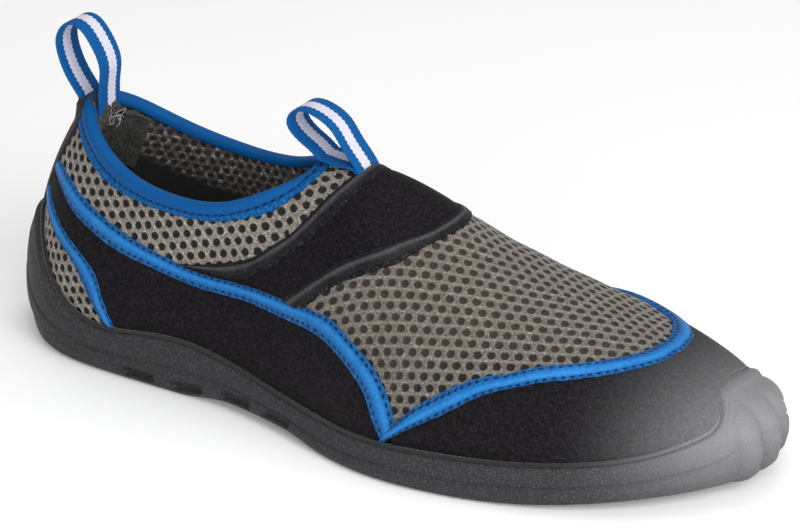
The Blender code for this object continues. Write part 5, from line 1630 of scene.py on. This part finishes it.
class SHOE_OT_lining(ShoePart):
    """Lining, insole and the bead along the sole's lip"""

    bl_idname = "shoe.lining"
    bl_label = "Lining and insole"

    def make(self, sizes, colours):
        """Inner face a wall's thickness inside the upper, a cushioned insole and a corded bead."""
        turns = both_sides(even_turns(0.0, 180.0, 0.7, 220))[:-1]
        up = np.linspace(0, 1, 61)
        turn = turns[:, None] + 0 * up
        side = np.minimum(turn, 360 - turn)
        level = up[None] + 0 * turn
        points = on_upper(turn, level, 0 * turn - UPPER_WALL)
        line = points[:, 42]
        length = lengths(line)
        around = np.append(length, length[-1] + np.linalg.norm(line[0] - line[-1]))
        column = np.linalg.norm(np.diff(points, axis=1), axis=-1)
        height = np.concatenate([0 * column[:, :1], np.cumsum(column, axis=1)], 1)
        height = np.concatenate([height, height[:1]])
        cloth = np.stack([around[:, None] + 0 * height, height], -1) / (sizes.hole_pitch * 0.9)
        marks = {
            "mesh": smooth(level, 0.60, 0.66),
            "ribbed": smooth(side, 62, 70) * (1 - smooth(level, 0.86, 0.90)),
        }
        finish = lining_cloth("lining", colours, sizes.hole_share)
        marks = {key: value[:, ::-1] for key, value in marks.items()}
        points, cloth = points[:, ::-1], cloth[:, ::-1]
        mesh = grid_mesh("lining", points, finish, cloth=cloth, marks=marks, close_rows=True)
        place("lining", mesh)
        self.insole()
        self.bead(colours)

    def insole(self):
        """Foam sheet on the sole's floor: level rows whose top rounds off at the edge."""
        turns = both_sides(even_turns(0.0, 180.0, 0.0, 150))[:-1]
        nx, ny = outward(turns)
        px, py = outline(turns)
        inset = UPPER_WALL + 3 * GAP
        ring = np.stack([px - nx * inset, py - ny * inset], -1)
        share = (1 - np.cos(np.linspace(0, math.pi, 41))) / 2
        level = level_rows(ring, share)
        base = FLOOR_THICKNESS + GAP + toe_rise(station_at(level[..., 0]))
        edge = (4 * share * (1 - share)) ** 0.25
        top = np.concatenate([level, (base + INSOLE_THICKNESS * (0.35 + 0.65 * edge))[..., None]], -1)
        low = np.concatenate([level, base[..., None]], -1)
        first = grid_corners(top.shape[0], top.shape[1], False, False)
        rim = self.rim(top.shape[0], top.shape[1])
        quads = np.concatenate([first[:, ::-1], first + top[..., 0].size, rim])
        finish = plain_cloth("insole_foam", (0.006, 0.006, 0.006), (0.022, 0.021, 0.021), 0.0005, 0.92, 0.15)
        mesh = mesh_of("insole_foam", np.concatenate([top.reshape(-1, 3), low.reshape(-1, 3)]), quads, finish)
        weld_mesh(mesh)
        place("insole_foam", mesh, ["insole"])

    def rim(self, rows, columns):
        """Quads that join the edge of the top grid to the edge of the low one."""
        spots = np.arange(rows * columns).reshape(rows, columns)
        left = np.stack([spots[:-1, 0], spots[1:, 0]], -1)
        right = np.stack([spots[1:, -1], spots[:-1, -1]], -1)
        edges = np.concatenate([left, right])
        low = rows * columns
        return np.stack([edges[:, 0], edges[:, 1], edges[:, 1] + low, edges[:, 0] + low], -1)

    def bead(self, colours):
        """Twisted cord that closes the joint between the upper and the sole's lip."""
        turns = both_sides(even_turns(0.0, 180.0, 0.1, 600))[:-1]
        lip = soft_lip(turns) + BEAD_RADIUS * 0.7
        up = up_at(turns, lip)
        centre = on_upper(turns, up, 0 * up + BEAD_RADIUS * 0.8)
        ahead = np.roll(centre, -1, axis=0) - np.roll(centre, 1, axis=0)
        length = lengths(centre)
        ahead = unit(ahead)
        out = on_upper(turns, up, 0 * up + 1.0) - on_upper(turns, up, 0 * up)
        over = np.cross(out, ahead)
        angle = np.linspace(0, 2 * math.pi, 9)[:-1]
        twist = np.sin(angle[None] * 2 + 2 * math.pi * length[:, None] / 0.0017)
        cover = smooth(turns, BUMPER_START - 6, BUMPER_START + 1)
        cover = cover * (1 - smooth(turns, BUMPER_END - 1, BUMPER_END + 6))
        radius = BEAD_RADIUS * (1 + 0.22 * twist) * (1 - 0.85 * cover[:, None])
        ring = circle(out, over, angle)
        points = centre[:, None] + ring * radius[..., None]
        dark, light = (0.004, 0.004, 0.004), (0.030, 0.029, 0.030)
        # The bead is paled at the toe by the same painted glare
        finish = plain_cloth("bead_thread", dark, light, 0.0004, 0.8, painted_glare=colours.painted_toe_glare)
        mesh = grid_mesh("lip_bead", points, finish, close_rows=True, close_columns=True)
        place("lip_bead", mesh)


class SHOE_OT_stage(ShoePart):
    """Pale floor, soft lights and the camera at the photograph's angle"""

    bl_idname = "shoe.stage"
    bl_label = "Stage"

    def make(self, sizes, colours):
        """Floor, world light, area lights and camera."""
        scene = bpy.context.scene
        scene.view_settings.view_transform = "Standard"
        floor_points = FLOOR_HALF * np.array([[-1, -1, 0], [1, -1, 0], [1, 1, 0], [-1, 1, 0]])
        glow = {"Emission Color": (1, 1, 1, 1), "Emission Strength": FLOOR_GLOW}
        finish = Finish("floor_paper", {"Roughness": 0.9, **glow})
        where = finish.place()
        tone = finish.mix(finish.noise(where, 0.4), FLOOR_TONE, shaded(FLOOR_TONE, 0.97))
        finish.close(tone, 0.9)
        mesh = mesh_of("floor", floor_points, np.array([[0, 1, 2, 3]]), finish.material)
        floor = bpy.data.objects.new("floor", mesh)
        scene.collection.objects.link(floor)
        world = bpy.data.worlds.new("studio")
        world.use_nodes = True
        back = world.node_tree.nodes["Background"]
        back.inputs["Color"].default_value = (1.0, 1.0, 1.0, 1.0)
        back.inputs["Strength"].default_value = WORLD_LIGHT
        scene.world = world
        self.lights(scene)
        self.camera(scene)

    def lights(self, scene):
        """Area lights that face one place over the floor."""
        for name, spot, size, power in LIGHTS:
            lamp = bpy.data.lights.new(name, "AREA")
            lamp.shape = "RECTANGLE"
            lamp.size, lamp.size_y = size
            lamp.energy = power
            holder = bpy.data.objects.new(name, lamp)
            scene.collection.objects.link(holder)
            to_shoe = Vector(LIGHT_AIM) - Vector(spot)
            facing = to_shoe.to_track_quat("-Z", "Y").to_matrix().to_4x4()
            holder.matrix_world = Matrix.Translation(spot) @ facing

    def camera(self, scene):
        """Camera whose azimuth, height, roll and distance were fitted to the photograph."""
        turn, rise, roll = (math.radians(angle) for angle in CAMERA_ANGLES)
        back = np.array([math.sin(turn) * math.cos(rise), -math.cos(turn) * math.cos(rise), math.sin(rise)])
        right = np.array([math.cos(turn), math.sin(turn), 0.0])
        above = np.cross(back, right)
        across = right * math.cos(roll) + above * math.sin(roll)
        above = above * math.cos(roll) - right * math.sin(roll)
        spot = np.array(CAMERA_TARGET) + back * CAMERA_DISTANCE
        lens = bpy.data.cameras.new("camera")
        lens.sensor_fit = "HORIZONTAL"
        lens.sensor_width = SENSOR_WIDTH
        lens.lens = CAMERA_FOCAL / IMAGE_WIDTH * SENSOR_WIDTH
        lens.clip_start = 0.05
        holder = bpy.data.objects.new("camera", lens)
        scene.collection.objects.link(holder)
        frame_of = np.eye(4)
        frame_of[:3, 0], frame_of[:3, 1], frame_of[:3, 2], frame_of[:3, 3] = across, above, back, spot
        holder.matrix_world = Matrix(frame_of.tolist())
        scene.camera = holder


PARTS = (
    SHOE_OT_sole, SHOE_OT_lining, SHOE_OT_mesh_panels, SHOE_OT_foam_panels, SHOE_OT_tapes,
    SHOE_OT_binding, SHOE_OT_heel_strip, SHOE_OT_pull_loops, SHOE_OT_stage,
)


class SHOE_PT_panel(bpy.types.Panel):
    """Sidebar panel with the shoe's pieces, sizes and colours"""

    bl_label = "Water Shoe"
    bl_idname = "SHOE_PT_panel"
    bl_space_type = "VIEW_3D"
    bl_region_type = "UI"
    bl_category = "Water Shoe"

    def draw(self, context):
        """One button for each operator, then the settings."""
        for part in PARTS:
            self.layout.operator(part.bl_idname)
        for group in (context.scene.shoe_sizes, context.scene.shoe_colours):
            for key in group.__annotations__:
                self.layout.prop(group, key)


CLASSES = (ShoeSizes, ShoeColours, *PARTS, SHOE_PT_panel)


def register():
    """Add the classes and the two groups of settings."""
    for item in CLASSES:
        bpy.utils.register_class(item)
    bpy.types.Scene.shoe_sizes = bpy.props.PointerProperty(type=ShoeSizes)
    bpy.types.Scene.shoe_colours = bpy.props.PointerProperty(type=ShoeColours)


def unregister():
    """Take the settings and the classes out again."""
    del bpy.types.Scene.shoe_colours
    del bpy.types.Scene.shoe_sizes
    for item in reversed(CLASSES):
        bpy.utils.unregister_class(item)


def main():
    """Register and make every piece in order."""
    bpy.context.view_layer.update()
    register()
    bpy.ops.shoe.sole()
    bpy.ops.shoe.lining()
    bpy.ops.shoe.mesh_panels()
    bpy.ops.shoe.foam_panels()
    bpy.ops.shoe.tapes()
    bpy.ops.shoe.binding()
    bpy.ops.shoe.heel_strip()
    bpy.ops.shoe.pull_loops()
    bpy.ops.shoe.stage()
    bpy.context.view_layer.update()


if __name__ == "__main__":
    main()
